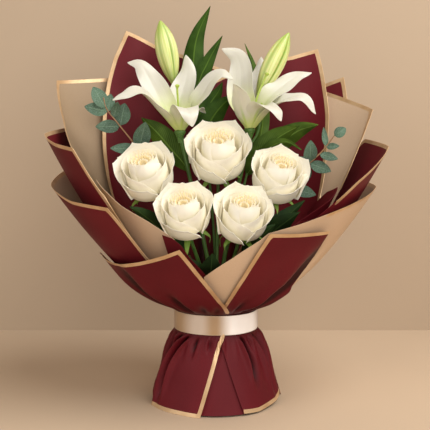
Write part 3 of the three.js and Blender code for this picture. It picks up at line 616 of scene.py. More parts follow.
SHEETS = {
    "wrap_front_left": sheet(8, (190, 270, 374), power=0.45, gold_top=(176, 284.5),
        gold_foot=(192, 290),
        flare="176 18.9, 188 19.6, 208 19.1, 220 19, 237 16.9, 252 15, 263 14.1, 285 13.7",
        top="""176 140, 182 176, 188 200, 194 201.5, 197.5 196.5, 203 194, 208 193.2, 215 194,
        221 195.8, 230 200, 237 204.6, 244 210, 252.4 218, 254.8 208.5, 257.2 199, 259.8 189,
        262.8 179, 266 169, 270 158, 274.8 146.5, 281.8 134, 287.5 123.5""",
        foot="""176 40, 184 10, 192 0, 257 0, 259.8 15.5, 262.5 30, 265.5 44, 268.8 58.5,
        272.2 72.5, 276.8 86.5, 283 99, 287.5 106"""),
    "wrap_front_right": sheet(7, (140, 305, 291), inside=DEEP_CREAM, power=0.55,
        gold_top=(-86, -37.5), gold_foot=(-66.2, 0),
        flare="-93 8, -83 8.1, -66 8.6, -52 9.6, -38.8 10.7, -25 10.9, 0 10.9",
        top="""-93 122, -86 131, -82.2 143.5, -79.2 156, -76.8 168.5, -74.5 180, -71 202.5,
        -67.8 223.5, -65.8 237, -52 236, -37.5 237, -37 222, -35 212.5, -32.5 203, -30 187.5,
        -28.8 171, -28.2 160, -26 150, -20 141, -12 133, 0 126""",
        foot="""-93 99, -86 88, -81.5 78.5, -78.2 66, -75.8 53.5, -73.2 41, -70.8 28.5, -68.5 16,
        -66.2 3.5, -50 2, -25 5, -12 8, 0 14"""),
    "wrap_low_left": sheet(6, (210, 270, 388), inside=CREAM, power=0.63,
        flare="162 6, 172 6.6, 190 7.3, 207 6.94, 224 6.1, 252 6.1",
        top="162 270, 172 305, 190 288, 207 272, 224 266, 228 237, 232 206, 245 150, 250 130"),
    "wrap_cream_front_right": sheet(6, (255, 260, 463), out=CREAM, inside=CREAM, gold_top=(-40, 18),
        flare="-98 5.74, -81 5.8, -65 6.2, -52 6.9, -33 7.65, -8 8.3, 12 8.5",
        top="-98 181, -81 206, -68.5 228, -65 237, -52 247, -33 264, -8 286, 12 290, 18 200"),
    "wrap_mid_left": sheet(5, (220, 320, 509),
        flare="152 5.3, 167 6.5, 185 7.3, 202 7.05, 214 6.75, 221 6.75, 232 6.3",
        top="152 320, 158 345, 167 365, 185 355, 202 342, 214 336, 217 302, 221 269, 232 140"),
    "wrap_mid_right": sheet(5, (225, 305, 486), gold_top=(-34, 26),
        flare="-56 6.1, -49 6.4, -41 6.75, -27 7.3, -8 7.69, 14 7.1, 26 6.5",
        top="-56 235, -49 249, -41 251, -33 275, -27 296, -8 338, 14 349, 26 310"),
    "wrap_inner_front": sheet(5, (75, 260, 137), gold_top=NOWHERE,
        flare="240 5.5, 252 5.4, 263 5.3, 296 5.2",
        top="240 233, 246 229, 250 221, 254 205, 263 182, 280 140, 296 126",
        foot="240 60, 245 2, 296 2"),
    "wrap_cream_left": sheet(4, (220, 380, 579), inside=DEEP_CREAM,
        flare="138 3.8, 148 4.75, 168 6.2, 190 6.15, 208 6.29, 218 6.38",
        top="138 410, 148 437, 168 429, 177 373, 190 336, 208 301, 216 279, 218 260"),
    "wrap_far_right": sheet(4, (115, 380, 299),
        flare="16 6.6, 26 5.89, 29 5.53, 34 5.04, 52 3.8",
        top="16 330, 26 410, 29 439, 34 431, 52 400"),
    "wrap_cream_front_left": sheet(3, (105, 230, 178), out=CREAM, inside=CREAM, gold_top=NOWHERE,
        flare="196 5.6, 209 5.7, 217 5.6, 231 5.3, 244 5, 256 5",
        top="196 296, 209 282, 217 266, 231 248, 244 228, 248 214, 256 160"),
    "wrap_cream_right": sheet(3, (170, 350, 408), inside=CREAM,
        flare="4 6.6, 8 6.5, 30 4.85, 45 3.5, 60 2.8",
        top="4 285, 7 388, 30 417, 45 400, 60 360"),
    "wrap_back_left": sheet(3, (195, 425, 673),
        flare="72 2.2, 95 2.05, 110 2.1, 130 2.82, 143 3.41, 152 4.46, 164 5.5, 178 5.5",
        top="""72 444, 78 447, 110 468, 130 485, 143 504, 148.5 465, 152 433, 157 383, 164 313,
        178 200"""),
    "wrap_back_right": sheet(2, (170, 405, 580),
        flare="-4 5.9, 11 5.7, 18 5.3, 27 4.65, 33 4.04, 41 3.13, 55 2.4, 77.5 2.1, 94 1.8",
        top="-4 200, 11 274, 18 330, 23 383, 27 418, 33 478, 41 468, 77.5 447, 94 432"),
    "wrap_inner_right": sheet(1, (125, 225, 200), gold_top=NOWHERE,
        flare="-56 5.2, -38 5.45, -20 6.1, -12 6.2, -6 5.4, 4 4.9",
        top="-56 215, -38 246, -20 271, -12 286, -6 279, 4 250"),
    "wrap_rear_left": sheet(7, (155, 410, 547), gold_foot=(86, 174),
        flare="86 3.4, 110 3.7, 130 4.8, 150 6.8, 162 7.7, 180 8.6",
        top="86 372, 110 385, 130 350, 150 260, 162 190, 172 140, 180 126",
        foot="86 0, 172 0, 176 60, 180 99"),
    "wrap_rear_right": sheet(8, (175, 410, 579), gold_foot=(5, 98),
        flare="-6 9.6, 14 9, 30 7.5, 50 5.4, 70 3.8, 98 3.7",
        top="-6 126, 6 129, 20 155, 32 240, 50 350, 70 385, 98 365",
        foot="-6 99, -2 60, 4 0, 98 0"),
}

# Folds gathered by the ribbon: azimuth at the ribbon, the degrees it swings away from there,
# half width in degrees, depth in mm (inwards), how far from the ribbon it runs out, and which side
# of the valley is the steep one (1 towards higher azimuths, -1 towards lower ones).
UPPER_FOLDS = table("""
    213 0 6.5 12 85 1, 244 -10 4 8 40 1, 228 -3 4 5 34 1, 258 0 3 4 20 1, 270 0 2.6 3 18 -1,
    303 22 6 14 110 -1, 309 6 3.6 8 46 -1, 292 5 3.6 5 30 -1, 337 6 4.5 7 90 -1,
    352 3 4.5 6.5 90 -1, 8 3 4 5 60 1, 28 0 5.5 8 150 -1, 47 0 4 5 70 1, 66 0 5 7 140 1,
    88 0 4 5 60 -1, 107 0 5 7 130 -1, 127 0 4 5 60 1, 146 0 5.5 7.5 120 -1, 166 -3 4 5 60 1,
    190 -2 4.5 6 70 1""")
LOWER_FOLDS = table("""
    222 -26 4 17 120 1, 235 -27 3.2 14 100 1, 206 -16 4 14 105 1, 247 -8 2.6 7 34 1,
    263 -3 2.4 5 26 -1, 277 -3 2.4 5 24 1, 303 12 3 14 72 -1, 315 8 2.4 6 34 1, 327 14 3.4 14 95 -1,
    341 4 3.2 8 60 1, 356 2 3.6 8 80 1, 12 2 3.6 9 70 -1, 33 2 3.4 8 50 1, 52 0 4 10 90 1,
    74 0 3.4 8 50 -1, 95 0 4 10 80 1, 116 0 3.4 8 50 -1, 137 -2 4 10 90 1, 157 -2 3.4 8 50 -1,
    176 -6 3.4 8 60 1, 193 -12 3.6 9 80 1""")


def folds(azimuth, height):
    """How far the gathered folds push the sheets out (+) or in (-), the same for every layer."""
    turn = np.radians(azimuth)
    gathers = (np.sin(17 * turn + 0.6) + 0.8 * np.sin(27 * turn + 2.1)
               + 0.6 * np.sin(41 * turn + 4.0))
    pushed = 0
    for gathered, away, upper in ((UPPER_FOLDS, height - WAIST_TOP, 1),
                                  (LOWER_FOLDS, WAIST_BOTTOM - height, 0)):
        start = smooth(away, 0, 11) * (0.6 + 0.4 * smooth(away, 0, 40))
        lying = 1 + 1.1 * fading(away, 20) * upper
        near = 1 + 0.8 * fading(away, 25) * upper
        for where, drift, half_width, depth, reach, steep in gathered:
            swing = drift * (1 - fading(away, 22))
            off = ((azimuth - where - swing + 180) % 360 - 180) * steep
            wide = np.where(off > 0, half_width * 0.7, half_width * 1.4) * near
            valley = -np.exp(-((np.abs(off) / wide) ** 1.7))
            ridges = (0.5 * bump(off, half_width * 1.6, half_width * 0.9)
                      + 0.22 * bump(off, -half_width * 2.9, half_width * 1.4))
            fade = start * lying * (1 - smooth(away, reach * 0.35, reach))
            pushed = pushed + depth * fade * (valley + ridges)
        broad = np.sin(5 * turn + 1.2 + away / 90) + 0.7 * np.sin(8 * turn + 3.4)
        pushed += (0.6 * gathers * start * (1 - smooth(away, 10, 40))
                   + 0.9 * broad * smooth(away, 12, 80))
    return pushed


def crease_depth(azimuth, height):
    """Painted shade: 0 on open paper, 1 in the deepest folds and right against the ribbon."""
    above, below = height - WAIST_TOP, WAIST_BOTTOM - height
    tucked = 0.85 * fading(above, 15) * (above > -8) + 0.6 * fading(below, 7) * (below > -8)
    return np.clip(smooth(-folds(azimuth, height), 0.3, 6) + tucked, 0, 1)


def sheet_radius(facts, azimuth, height):
    below = np.clip(WAIST_BOTTOM - height, 0, None) / WAIST_BOTTOM
    above = np.clip(height - WAIST_TOP, 0, None) + FLARE_START
    rise = above ** facts["power"] - FLARE_START ** facts["power"]
    return (WAIST_RADIUS + facts["layer"] * LAYER_PITCH + SKIRT_SPREAD * below**0.92
            + read_softly(facts["flare"], azimuth) * rise + folds(azimuth, height))


def border_height(facts, edge, azimuths, sense):
    """The height in each column that lies one border width inside the gold part of an edge."""
    corners, gold = facts[edge], facts["gold_" + edge]
    at_edge = read(corners, azimuths)
    low, high = max(gold[0], corners[0][0]), min(gold[1], corners[-1][0])
    plain = at_edge + sense * PLAIN_HEM
    if low >= high:
        return plain
    ends = np.linspace(low, high, 500)
    line = read(corners, ends)
    line = polar(sheet_radius(facts, ends, line), ends, line)
    near, far = np.zeros(len(azimuths)), np.full(len(azimuths), BORDER * 7)
    for _ in range(16):
        middle = (near + far) / 2
        height = at_edge + sense * middle
        points = polar(sheet_radius(facts, azimuths, height), azimuths, height)
        apart = np.linalg.norm(points[:, None] - line[None], axis=2).min(axis=1)
        near, far = np.where(apart < BORDER, (middle, far), (near, middle))
    return np.where((azimuths >= low) & (azimuths <= high), at_edge + sense * far, plain)


def row_heights(low, high):
    """Rows from low to high in each column, closer together where the sheet leaves the ribbon."""
    rows = []
    for bottom, top in zip(low, high):
        height = bottom + (top - bottom) * np.linspace(0, 1, 240)
        crowd = 1 + 5 * bump(height, WAIST_BOTTOM - 6, 18) + 5 * bump(height, WAIST_TOP + 8, 18)
        run = np.r_[0, np.cumsum((crowd[1:] + crowd[:-1]) / 2)]
        rows.append(np.interp(np.linspace(0, 1, ROWS), run / run[-1], height))
    return np.array(rows)


def sheet_columns(facts):
    """Azimuths of the columns: every corner of an edge, and the steps that all sheets share."""
    first, last = facts["top"][0][0], facts["top"][-1][0]
    corners = {azimuth for azimuth, _ in facts["top"] + facts["foot"]}
    corners |= {a for a in facts["gold_top"] + facts["gold_foot"] if first < a < last}
    steps = range(math.ceil(first / COLUMN_STEP), math.floor(last / COLUMN_STEP) + 1)
    apart = [k * COLUMN_STEP for k in steps
             if min(abs(k * COLUMN_STEP - c) for c in corners) > COLUMN_STEP * 0.3]
    return np.array(sorted(corners | set(apart)), float)


def build_sheet(name, facts):
    azimuths = sheet_columns(facts)
    top, foot = read(facts["top"], azimuths), read(facts["foot"], azimuths)
    inner_top = np.maximum(border_height(facts, "top", azimuths, -1), foot + (top - foot) * 0.55)
    inner_foot = np.minimum(border_height(facts, "foot", azimuths, 1), foot + (top - foot) * 0.45)
    heights = np.hstack([foot[:, None], row_heights(inner_foot, inner_top), top[:, None]])
    middles = (azimuths[1:] + azimuths[:-1]) / 2
    looks = np.zeros((len(azimuths) - 1, heights.shape[1] - 1), int)
    for row, (low, high) in ((-1, facts["gold_top"]), (0, facts["gold_foot"])):
        looks[:, row] = np.where((middles > low) & (middles < high), 2, 0)
    columns = azimuths[:, None]
    outer = sheet_radius(facts, columns, heights)
    marks = marked(np.linspace(-1, 1, len(azimuths))[:, None],
                   np.linspace(0, 1, heights.shape[1]), crease_depth(columns, heights))
    shape = Shape()
    shape.slab(polar(outer + PAPER, columns, heights), polar(outer, columns, heights), marks,
               looks, np.where(looks == 2, 2, 1), split=True)
    slot = "wrap_burgundy" if facts["out"] is BURGUNDY else "wrap_cream"
    piece = make_piece(name + "_paper", shape, [facts["out"], facts["inside"], GOLD], slot, name)
    width, length, area = facts["cut"]


for sheet_name, sheet_facts in SHEETS.items():
    build_sheet(sheet_name, sheet_facts)

# --- Ribbon, tie and cuff ---

RIBBON_WIDTH = 25.0
RIBBON_THICKNESS = 0.5
RIBBON_RADIUS = 55.75
RIBBON_BOTTOM = 97.4
RIBBON_OVERLAP = 24.0  # degrees
TWINE_RADIUS = 0.86
TIE_RADIUS = 15.35
TIE_TURNS = 6.2
TIE_FOOT, TIE_HEIGHT = 101.0, 10.0
CUFF_LENGTH, CUFF_HEIGHT = 780.0, 59.0  # the strip before it was pleated
CUFF_INSIDE, CUFF_OUTSIDE = 17.6, 43.0
CUFF_FOOT, CUFF_PLEATS = 62, 14


def build_ribbon():
    turns, rows = np.linspace(0, 360 + RIBBON_OVERLAP, 260)[:, None], np.linspace(-1, 1, 13)
    azimuth = 90 + turns
    angle = np.radians(azimuth)
    dents = 0.22 * np.sin(9 * angle + rows * 1.4) + 0.16 * np.sin(23 * angle - rows * 2.2 + 1.0)
    radius = (RIBBON_RADIUS + smooth(turns, 320, 358) * (RIBBON_THICKNESS + 0.35)
              + 0.35 * (1 - np.abs(rows) ** 6) + np.maximum(dents, -0.1) * 0.8)
    height = RIBBON_BOTTOM + RIBBON_WIDTH / 2 * (1 + rows) + 0.25 * np.sin(3 * angle + 0.8)
    shape = Shape()
    shape.slab(polar(radius + RIBBON_THICKNESS, azimuth, height), polar(radius, azimuth, height),
               marked(rows, np.linspace(0, 1, len(turns))[:, None]))
    piece = make_piece("ribbon", shape, [RIBBON], "ribbon_satin", "ribbon_band")


def build_twine():
    """Tight turns of twine, with both ends tucked under."""
    t = np.linspace(0, 1, 420)
    tuck = smooth(t, 0, 0.02) * smooth(1 - t, 0, 0.02)
    turn = t * TIE_TURNS * 360
    radius = TIE_RADIUS - 0.15 * (1 - tuck) + 0.08 * np.sin(np.radians(turn) * 7.3)
    shape = Shape()
    shape.tube(polar(radius, turn, TIE_FOOT + t * TIE_HEIGHT), TWINE_RADIUS, sides=8)
    make_piece("twine", shape, [TWINE], "twine", "stem_tie")


def build_cuff():
    """Pleated paper that fills the space between the tied stems and the wrapping."""
    azimuth = np.linspace(0, 360, CUFF_PLEATS * 24 + 1)[:, None]
    heights = np.linspace(CUFF_FOOT, CUFF_FOOT + CUFF_HEIGHT, 16)
    phase = (azimuth * CUFF_PLEATS / 360 + 0.03 * np.sin(heights / 9)) % 1
    ridge = 0.5 - 0.5 * np.cos(math.pi * smooth(1 - np.abs(2 * phase - 1), 0.04, 0.96))
    crumple = 0.5 * np.sin(np.radians(azimuth) * 11 + heights / 5)
    radius = CUFF_INSIDE + ridge * (
        CUFF_OUTSIDE - CUFF_INSIDE + crumple - 1.2 * bump(heights, CUFF_FOOT, 10))
    shape = Shape()
    shape.slab(polar(radius + 0.5, azimuth, heights), polar(radius - 0.3, azimuth, heights))
    piece = make_piece("cuff", shape, [CREAM], "wrap_cream", "inner_cuff", sharp=60)


build_ribbon()
build_twine()
build_cuff()

# --- Stems ---
# A stem's spot in the bundle is its ring and its azimuth.

BUNDLE_TOP = 118.0
RING = {"middle": 0, "rose": 5.75, "lily": 6.15, "twig": 9.1, "groove": 9.5, "outside": 11.7}
ROSE_STEM = 2.6
LILY_STEM = 3.0
FOLIAGE_STEM = 2.1
PEDICEL = 2.0


def bundle_spot(spot, height):
    return polar(RING[spot[0]], spot[1], height)


def stem_path(spot, end, arriving, bend=0.4):
    """A stem's middle line: straight through the bundle, then one even curve to its end."""
    foot, top = bundle_spot(spot, 0.0), bundle_spot(spot, BUNDLE_TOP)
    reach = np.linalg.norm(end - top) * bend
    t = np.linspace(0, 1, 34)[1:, None]
    s = 1 - t
    curve = (top * s**3 + 3 * (top + [0, 0, reach]) * s**2 * t
             + 3 * (end - unit(arriving) * reach) * s * t**2 + end * t**3)
    return np.vstack([foot + (top - foot) * np.linspace(0, 1, 12)[:, None], curve])


def growing_radii(path, radius, seed, swell=0.05):
    """A radius for each point of a stem, a little uneven."""
    t = np.linspace(0, 1, len(path))
    return radius * (1 - 0.06 * t) * (1 - swell + swell * np.sin(t * 31 + seed))


def spin(profile, sides, matrix, at, lobes=0.0):
    """The rings of a turned form, stood along an axis: its profile is (radius, height) pairs.
    lobes swells it in three places."""
    turn = np.linspace(0, 2 * math.pi, sides, endpoint=False)
    around = 1 + lobes * np.cos(3 * turn)
    return [np.stack([radius * around * np.cos(turn), radius * around * np.sin(turn),
                      np.full(sides, height)], axis=1) @ matrix.T + at
            for radius, height in profile]


def grid_normals(grid):
    return unit(np.cross(np.gradient(grid, axis=0), np.gradient(grid, axis=1)))


def blade(shape, path, across, half, thickness, lift, look=0, under=None, columns=9):
    """A thin blade along a path. lift(e, t) raises the surface along its normal, in mm."""
    t = np.linspace(0, 1, len(path))
    along = tangents(path)
    across = np.broadcast_to(across, path.shape)
    wide = unit(across - along * (across * along).sum(1, keepdims=True))
    normal = unit(np.cross(wide, along))
    e = np.linspace(-1, 1, columns)[:, None]
    middle = path + wide * (e * half)[..., None] + normal * lift(e, t)[..., None]
    thin = grid_normals(middle) * (thickness / 2 * (1 - 0.5 * np.abs(e) ** 3))[..., None]
    shape.slab(middle + thin, middle - thin, marked(e, t), look, look if under is None else under)


# --- Roses ---
# Centre, lean and diameter as in the CAD part. open is the outline's width across the open petals,
# turn and front place the heart's first and front petals, hand is the way the petals overlap, and
# outer the big open petals as (azimuth, half width) in degrees.

ROSE_KEYS = ("centre", "lean", "diameter", "open", "spot", "turn", "front", "hand", "outer")
ROSES = [
    ((3, -20, 332), 0, 80, 86, ("middle", 0), 12, 268, 1, "62 66, 116 62, 350 74, 168 66, 212 80"),
    ((-90, -35, 307), -0.18, 74, 79, ("rose", 181), 140, 262, 1,
     "52 62, 104 60, 160 66, 218 82, 348 60"),
    ((81, -35, 303), 0.2, 73, 77, ("rose", -1), 75, 285, -1,
     "150 60, 98 60, 40 66, 322 84, 198 60"),
    ((-39, -75, 260), -0.12, 71, 74, ("rose", 239.5), 200, 272, 1,
     "8 64, 60 60, 112 60, 164 62, 224 80"),
    ((33.5, -75, 256), 0.08, 71, 75, ("rose", -59.5), 300, 278, 1,
     "352 72, 62 60, 108 60, 156 62, 206 76"),
]
ROSE_FORWARD = -0.6
ROSE_CENTRE = 0.42
ROSE_BEND = 0.12
HIP_LENGTH = 11.0
HIP_RADIUS = 7.0
SEPALS, SEPAL_WIDTH, SEPAL_THICKNESS = 5, 4.4, 0.6
PETAL_THICKNESS = 0.7
BLOOM_NOD = 12.0  # how far a bloom bends towards the front between its foot and its rim, degrees

# From the heart outwards: petals in the whorl, half width in degrees, how golden, how crimped, how
# rolled the rim is, and the line from foot to tip as (radius, height) in widths of the open rose,
# at the front and at the back.
# The golden share also sets painted shade in the crimp valleys of the rear petals.
HEART = [
    (3, 110, 0.8, 0.6, 0, "0.012 0.12, 0.03 0.28, 0.034 0.4, 0.01 0.52",
     "0.012 0.12, 0.034 0.28, 0.042 0.4, 0.024 0.54"),
    (4, 88, 0.9, 1.2, 0, "0.025 0.1, 0.074 0.26, 0.084 0.4, 0.034 0.56",
     "0.025 0.1, 0.078 0.26, 0.096 0.42, 0.078 0.605"),
    (4, 92, 1, 1.4, 0, "0.03 0.08, 0.13 0.22, 0.146 0.38, 0.066 0.6",
     "0.03 0.08, 0.134 0.22, 0.162 0.4, 0.144 0.642"),
    (3, 108, 0.8, 1, 0.1, "0.03 0.07, 0.165 0.2, 0.19 0.36, 0.16 0.53, 0.062 0.65",
     "0.03 0.07, 0.165 0.2, 0.2 0.38, 0.2 0.54, 0.196 0.662"),
    (3, 112, 0.3, 0.3, 0.35, "0.03 0.06, 0.205 0.16, 0.244 0.32, 0.222 0.52, 0.09 0.688",
     "0.03 0.06, 0.205 0.17, 0.248 0.34, 0.256 0.53, 0.262 0.664"),
    (3, 106, 0, 0, 0.9, "0.04 0.02, 0.29 0.09, 0.338 0.22, 0.324 0.38, 0.262 0.585",
     "0.04 0.02, 0.28 0.1, 0.332 0.25, 0.346 0.46, 0.372 0.648"),
]
OUTER = (None, None, 0, 0, 1.3, "0.045 0, 0.325 0.05, 0.394 0.16, 0.396 0.3, 0.378 0.48",
         "0.045 0, 0.325 0.06, 0.402 0.19, 0.428 0.37, 0.51 0.58")


def petal_grid(whorl, at, half_width, hand, wide, rng):
    """The middle surface of one petal in the bloom's own axes: +Z up, in millimetres."""
    tone, crimp, roll, *lines = whorl[2:]
    u = np.linspace(-1, 1, 81 if crimp > 0.4 else 41)[:, None]
    v = np.linspace(0, 1, 28)
    wing = np.abs(u)
    point = 0.01 + 0.037 * roll
    oval = 0.10 + 0.90 * (1 - wing ** (4.4 if roll > 1 else 5.0)) ** 0.5
    tips = np.exp(-wing / 0.08) + (roll > 1) * np.exp(-np.abs(wing - 0.60) / 0.07)
    reach = v * (oval + point * tips) / (1 + point)
    degrees = at + hand * u * half_width * (0.45 + 0.55 * smooth(reach, 0.0, 0.5))
    facing = np.sin(np.radians(degrees))
    back = smooth(facing, -0.75, 0.65)[..., None]
    front, behind = (spline(table(line), reach) for line in lines)
    radius, height = np.moveaxis(front * (1 - back) + behind * back, -1, 0)
    phase = rng.uniform(0, 6.28)
    rim = smooth(v, 0.84, 1.0)
    side = 0.25 + 0.75 * smooth(wing, 0.04, 0.5)
    rear = smooth(facing, -0.2, 0.4)
    wave = np.sin(u * half_width / 2.5 + phase)
    radius = (radius + rim * roll * 0.034 * (1.1 - 0.4 * side)
              + (0.010 + 0.022 * min(roll, 1)) * u * smooth(reach, 0.0, 0.4)
              + roll * 0.006 * np.sin(u * 6 + phase) * smooth(v, 0.5, 1.0)
              + wave * 0.0115 * crimp * rear * smooth(v, 0.72, 0.95))
    height = (height - rim**1.6 * roll * 0.030 * side + rng.uniform(-0.015, 0.015) * v
              + wave * 0.006 * crimp * rear * smooth(v, 0.85, 1.0))
    # The heart's own gold on the rear petals, laid deepest in the crimp valleys as painted shade
    # between the crimped rims.
    golden = tone * rear * (0.15 + 0.85 * smooth(-wave, 0.0, 0.7))
    return polar(radius * wide, degrees, height * wide), marked(u, v, golden)


def nod(points, wide):
    """Bends a bloom, in its own axes, towards its -Y side as it rises."""
    bend = math.radians(BLOOM_NOD) / (0.62 * wide)
    x, y, angle = points[..., 0], points[..., 1], bend * points[..., 2]
    return np.stack([x, y * np.cos(angle) - (1 - np.cos(angle)) / bend,
                     y * np.sin(angle) + np.sin(angle) / bend], axis=-1)


def build_bloom(number, rose, matrix, foot):
    rng = random.Random(40 + number)
    shape = Shape()
    wide, hand, turn, petals = rose["open"], rose["hand"], rose["turn"], []
    for whorl in HEART:
        petals += [(whorl, turn + k * 360 / whorl[0] + rng.uniform(-6, 6), whorl[1])
                   for k in range(whorl[0])]
        turn = rose["front"] if whorl[3] > 0.4 else turn + 52
    petals += [(OUTER, at, half_width) for at, half_width in table(rose["outer"])]
    for whorl, at, half_width in petals:
        grid, marks = petal_grid(whorl, at, half_width, hand, wide, rng)
        grid = nod(grid, wide)
        thin = PETAL_THICKNESS / 2 * (1 - 0.55 * smooth(marks[..., 1], 0.8, 1))[..., None]
        thin = thin * grid_normals(grid) * hand
        shape.slab(*(x[::hand] for x in ((grid + thin) @ matrix.T + foot,
                                         (grid - thin) @ matrix.T + foot, marks)))
    make_piece(f"rose_{number}_petals", shape, [ROSE], "rose_petal", f"rose_{number}_bloom",
               sharp=70)


def build_rose_stem(number, rose, matrix, foot):
    axis = matrix[:, 2]
    end = foot - axis * HIP_LENGTH
    path = stem_path(rose["spot"], end, axis, ROSE_BEND)
    shape = Shape()
    shape.tube(path, growing_radii(path, ROSE_STEM, number), sides=12)
    hip = [(ROSE_STEM * 0.85, -3), (ROSE_STEM, -0.5), (5.0, 2.2), (HIP_RADIUS * 0.95, 5.2),
           (HIP_RADIUS, 7.4), (HIP_RADIUS * 0.86, 9.4), (HIP_RADIUS * 0.8, HIP_LENGTH - 0.35)]
    shape.rings(spin(hip, 16, matrix, end), tone=0.2)
    rng = random.Random(70 + number)
    t = np.linspace(0, 1, 16)
    widths = SEPAL_WIDTH * (1 - t) ** 0.7 * (0.75 + 0.5 * np.sin(math.pi * t)) + 0.12
    for k in range(SEPALS):
        angle = math.radians(360 / SEPALS * k + rng.uniform(-12, 12) + rose["turn"])
        out = outwards(angle)
        reach, fall = rng.uniform(24, 31), rng.uniform(10, 20)
        collar = matrix @ (out * 11.0 + [0, 0, 7.6]) + end
        way = unit((matrix @ out) * [1, 1, 0.35])
        line = even_path([matrix @ (out * 6.0 + [0, 0, 9.2]) + end, collar] + [
            collar + way * far - [0, 0, fall * sunk]
            for far, sunk in ((reach * 0.55 - 6.05, 0.25), (reach - 10, 0.7),
                              (reach - 10.5, 1.25))], 16)
        blade(shape, line, matrix @ outwards(angle + math.pi / 2), widths, SEPAL_THICKNESS,
              lambda e, s: 0.9 * e**2 * (1 - s), look=1, columns=7)
    for k in range(1, 7, 2) if number > 1 else ():
        side = outwards(k * 2.4 + number, -0.15)
        thorn = path[3 + 2 * k] + np.array([side * 1.9, side * 2.6, side * 3.1 - [0, 0, 0.2]])
        shape.tube(thorn, [1.1, 0.6, 0.06], sides=6)
    make_piece(f"rose_{number}_stalk", shape, [STEM, SEPAL], "green_stem", f"rose_{number}_stem")


for rose_number, row in enumerate(ROSES, 1):
    rose_facts = dict(zip(ROSE_KEYS, row))
    rose_turn = turn_to([rose_facts["lean"], ROSE_FORWARD, 0.8])
    rose_foot = rose_facts["centre"] - rose_turn[:, 2] * ROSE_CENTRE * rose_facts["diameter"]
    build_bloom(rose_number, rose_facts, rose_turn, rose_foot)
    build_rose_stem(rose_number, rose_facts, rose_turn, rose_foot)

# --- Lilies ---
# Paths and roots as in the CAD part. A lily is its base, its stem's spot, its tepals and its
# pistil's path. A tepal is its root's distance from the middle, its full width, its twist in
# degrees and its path. A bud is its pedicel's path, its base, tip, radius and turn.

RECEPTACLE_RADIUS = 7.6
RECEPTACLE_TOP = 3.4
TEPAL_ROOT_GAP = 0.7
TEPAL_THICKNESS = 0.9
LILY_BEND = 0.22
LILY_LEAN = 0.004
FILAMENTS = 6
CONE = [(LILY_STEM * 0.9, -13), (LILY_STEM * 1.1, -9.5), (4.8, -5), (6.4, -1.5),
        (RECEPTACLE_RADIUS, 0.8), (RECEPTACLE_RADIUS, 2.6), (6.6, RECEPTACLE_TOP)]
OVARY = [(1.6, 2), (2.4, 4), (2.6, 9), (2.3, 14), (1.5, 17.5)]
STIGMA = [(1.4, -1.5), (2.3, 0.2), (3.0, 1.6), (2.7, 2.8), (1.2, 3.4)]
BUD_PROFILE = [(0, 0.16), (0.03, 0.28), (0.1, 0.47), (0.22, 0.74), (0.36, 0.93), (0.5, 1.0),
               (0.64, 0.95), (0.77, 0.78), (0.88, 0.5), (0.955, 0.24), (1.0, 0.05)]
LILIES = [
    ((-48, 8, 356), ("lily", 121), [
        (6.5, 27, -30, "-73 -8 383, -97 -28 408, -116 -40 404, -130 -45 396"),
        (4, 35, -58, "-71 12 394, -88 18 427, -102 24 448, -119 28 451"),
        (5.3, 34, 0, "-49 25 394, -41 45 430, -39 54 447, -42 60 465"),
        (6.8, 24, 0, "-34 20 377, -26 30 388, -20 38 390, -14 42 384"),
        (5, 32, 44, "-25 8 393, -8 6 423, 8 4 435, 22 -2 426"),
        (4, 34, 0, "-42 -14 383, -38 -30 387, -33 -42 378, -30 -46 363")],
     "-49 6 372, -50 4 390, -51 -4 416"),
    ((45, 12, 359), ("lily", 59), [
        (4, 36, -50, "34 20 401, 34 30 442, 27 36 462, 8 40 471"),
        (6.5, 30, 0, "51 43 402, 59 62 431, 62 72 449, 64 80 465"),
        (4, 32, 42, "70 13 401, 94 25 423, 114 37 436, 131 44 439"),
        (6.5, 27, 30, "74 0 389, 94 -8 400, 114 -14 402, 129 -18 380"),
        (4, 30, 0, "55 -8 386, 67 -28 390, 76 -42 384, 82 -46 370"),
        (6.5, 28, 0, "34 -6 386, 31 -18 403, 27 -24 413, 22 -27 418")],
     "48 9 374, 54 4 402, 66 0 432"),
]
BUDS = [
    ("-44.8 12.4 335, -46 26 353, -58 50 388", (-59, 62, 426), (-78, 70, 514), 16.5, 0.5),
    ("45.4 13.9 340, 56 26 356, 60 29 377", (57, 32, 408), (99, 36, 492), 15.5, 1.2),
]


def build_tepal(lily_number, number, base, ring, width, twist, points):
    points = table(points)
    outward = unit((points[1] - base) * [1, 1, 0])
    root = base + outward * ring + [0, 0, RECEPTACLE_TOP + TEPAL_ROOT_GAP]
    path = even_path([root, points], 34)
    t = np.linspace(0, 1, 34)
    along = tangents(path)
    across = np.array([-outward[1], outward[0], 0.0])
    square = unit(across - along * (along @ across)[:, None])
    angle = np.radians(twist * smooth(t, 0.04, 0.5))[:, None]
    across = square * np.cos(angle) + np.cross(along, square) * np.sin(angle)
    foot = 0.36 + 0.64 * smooth(t, -0.04, 0.30)
    tip = np.clip(1 - ((t - 0.42) / 0.585) ** 2, 0, 1) ** 0.8
    half = width / 2 * np.where(t < 0.42, foot, np.maximum(tip, 0.02))
    rng = random.Random(lily_number * 10 + number)
    wave, phase = rng.uniform(1.6, 2.4), rng.uniform(0, 6.28)

    def lift(e, s):
        """A cupped blade with a groove along its middle and a frilled edge."""
        cup = -0.42 * (1 - smooth(s, 0.35, 0.8)) + 0.16 * smooth(s, 0.7, 0.95)
        groove = 0.7 * np.exp(-((e / 0.13) ** 2)) * (1 - smooth(s, 0.6, 0.95))
        frill = 1.5 * np.sin(2 * math.pi * wave * s + phase) * np.abs(e) ** 3
        return (cup * half * e**2 + groove
                + frill * smooth(s, 0.3, 0.55) * (1 - smooth(s, 0.85, 1.0)))

    shape = Shape()
    blade(shape, path, across, half, TEPAL_THICKNESS, lift, look=1, under=0, columns=17)
    make_piece(f"lily_{lily_number}_petal_{number}", shape, [LILY_IN, LILY_OUT], "lily_tepal",
               f"lily_{lily_number}_tepal_{number}", sharp=70)


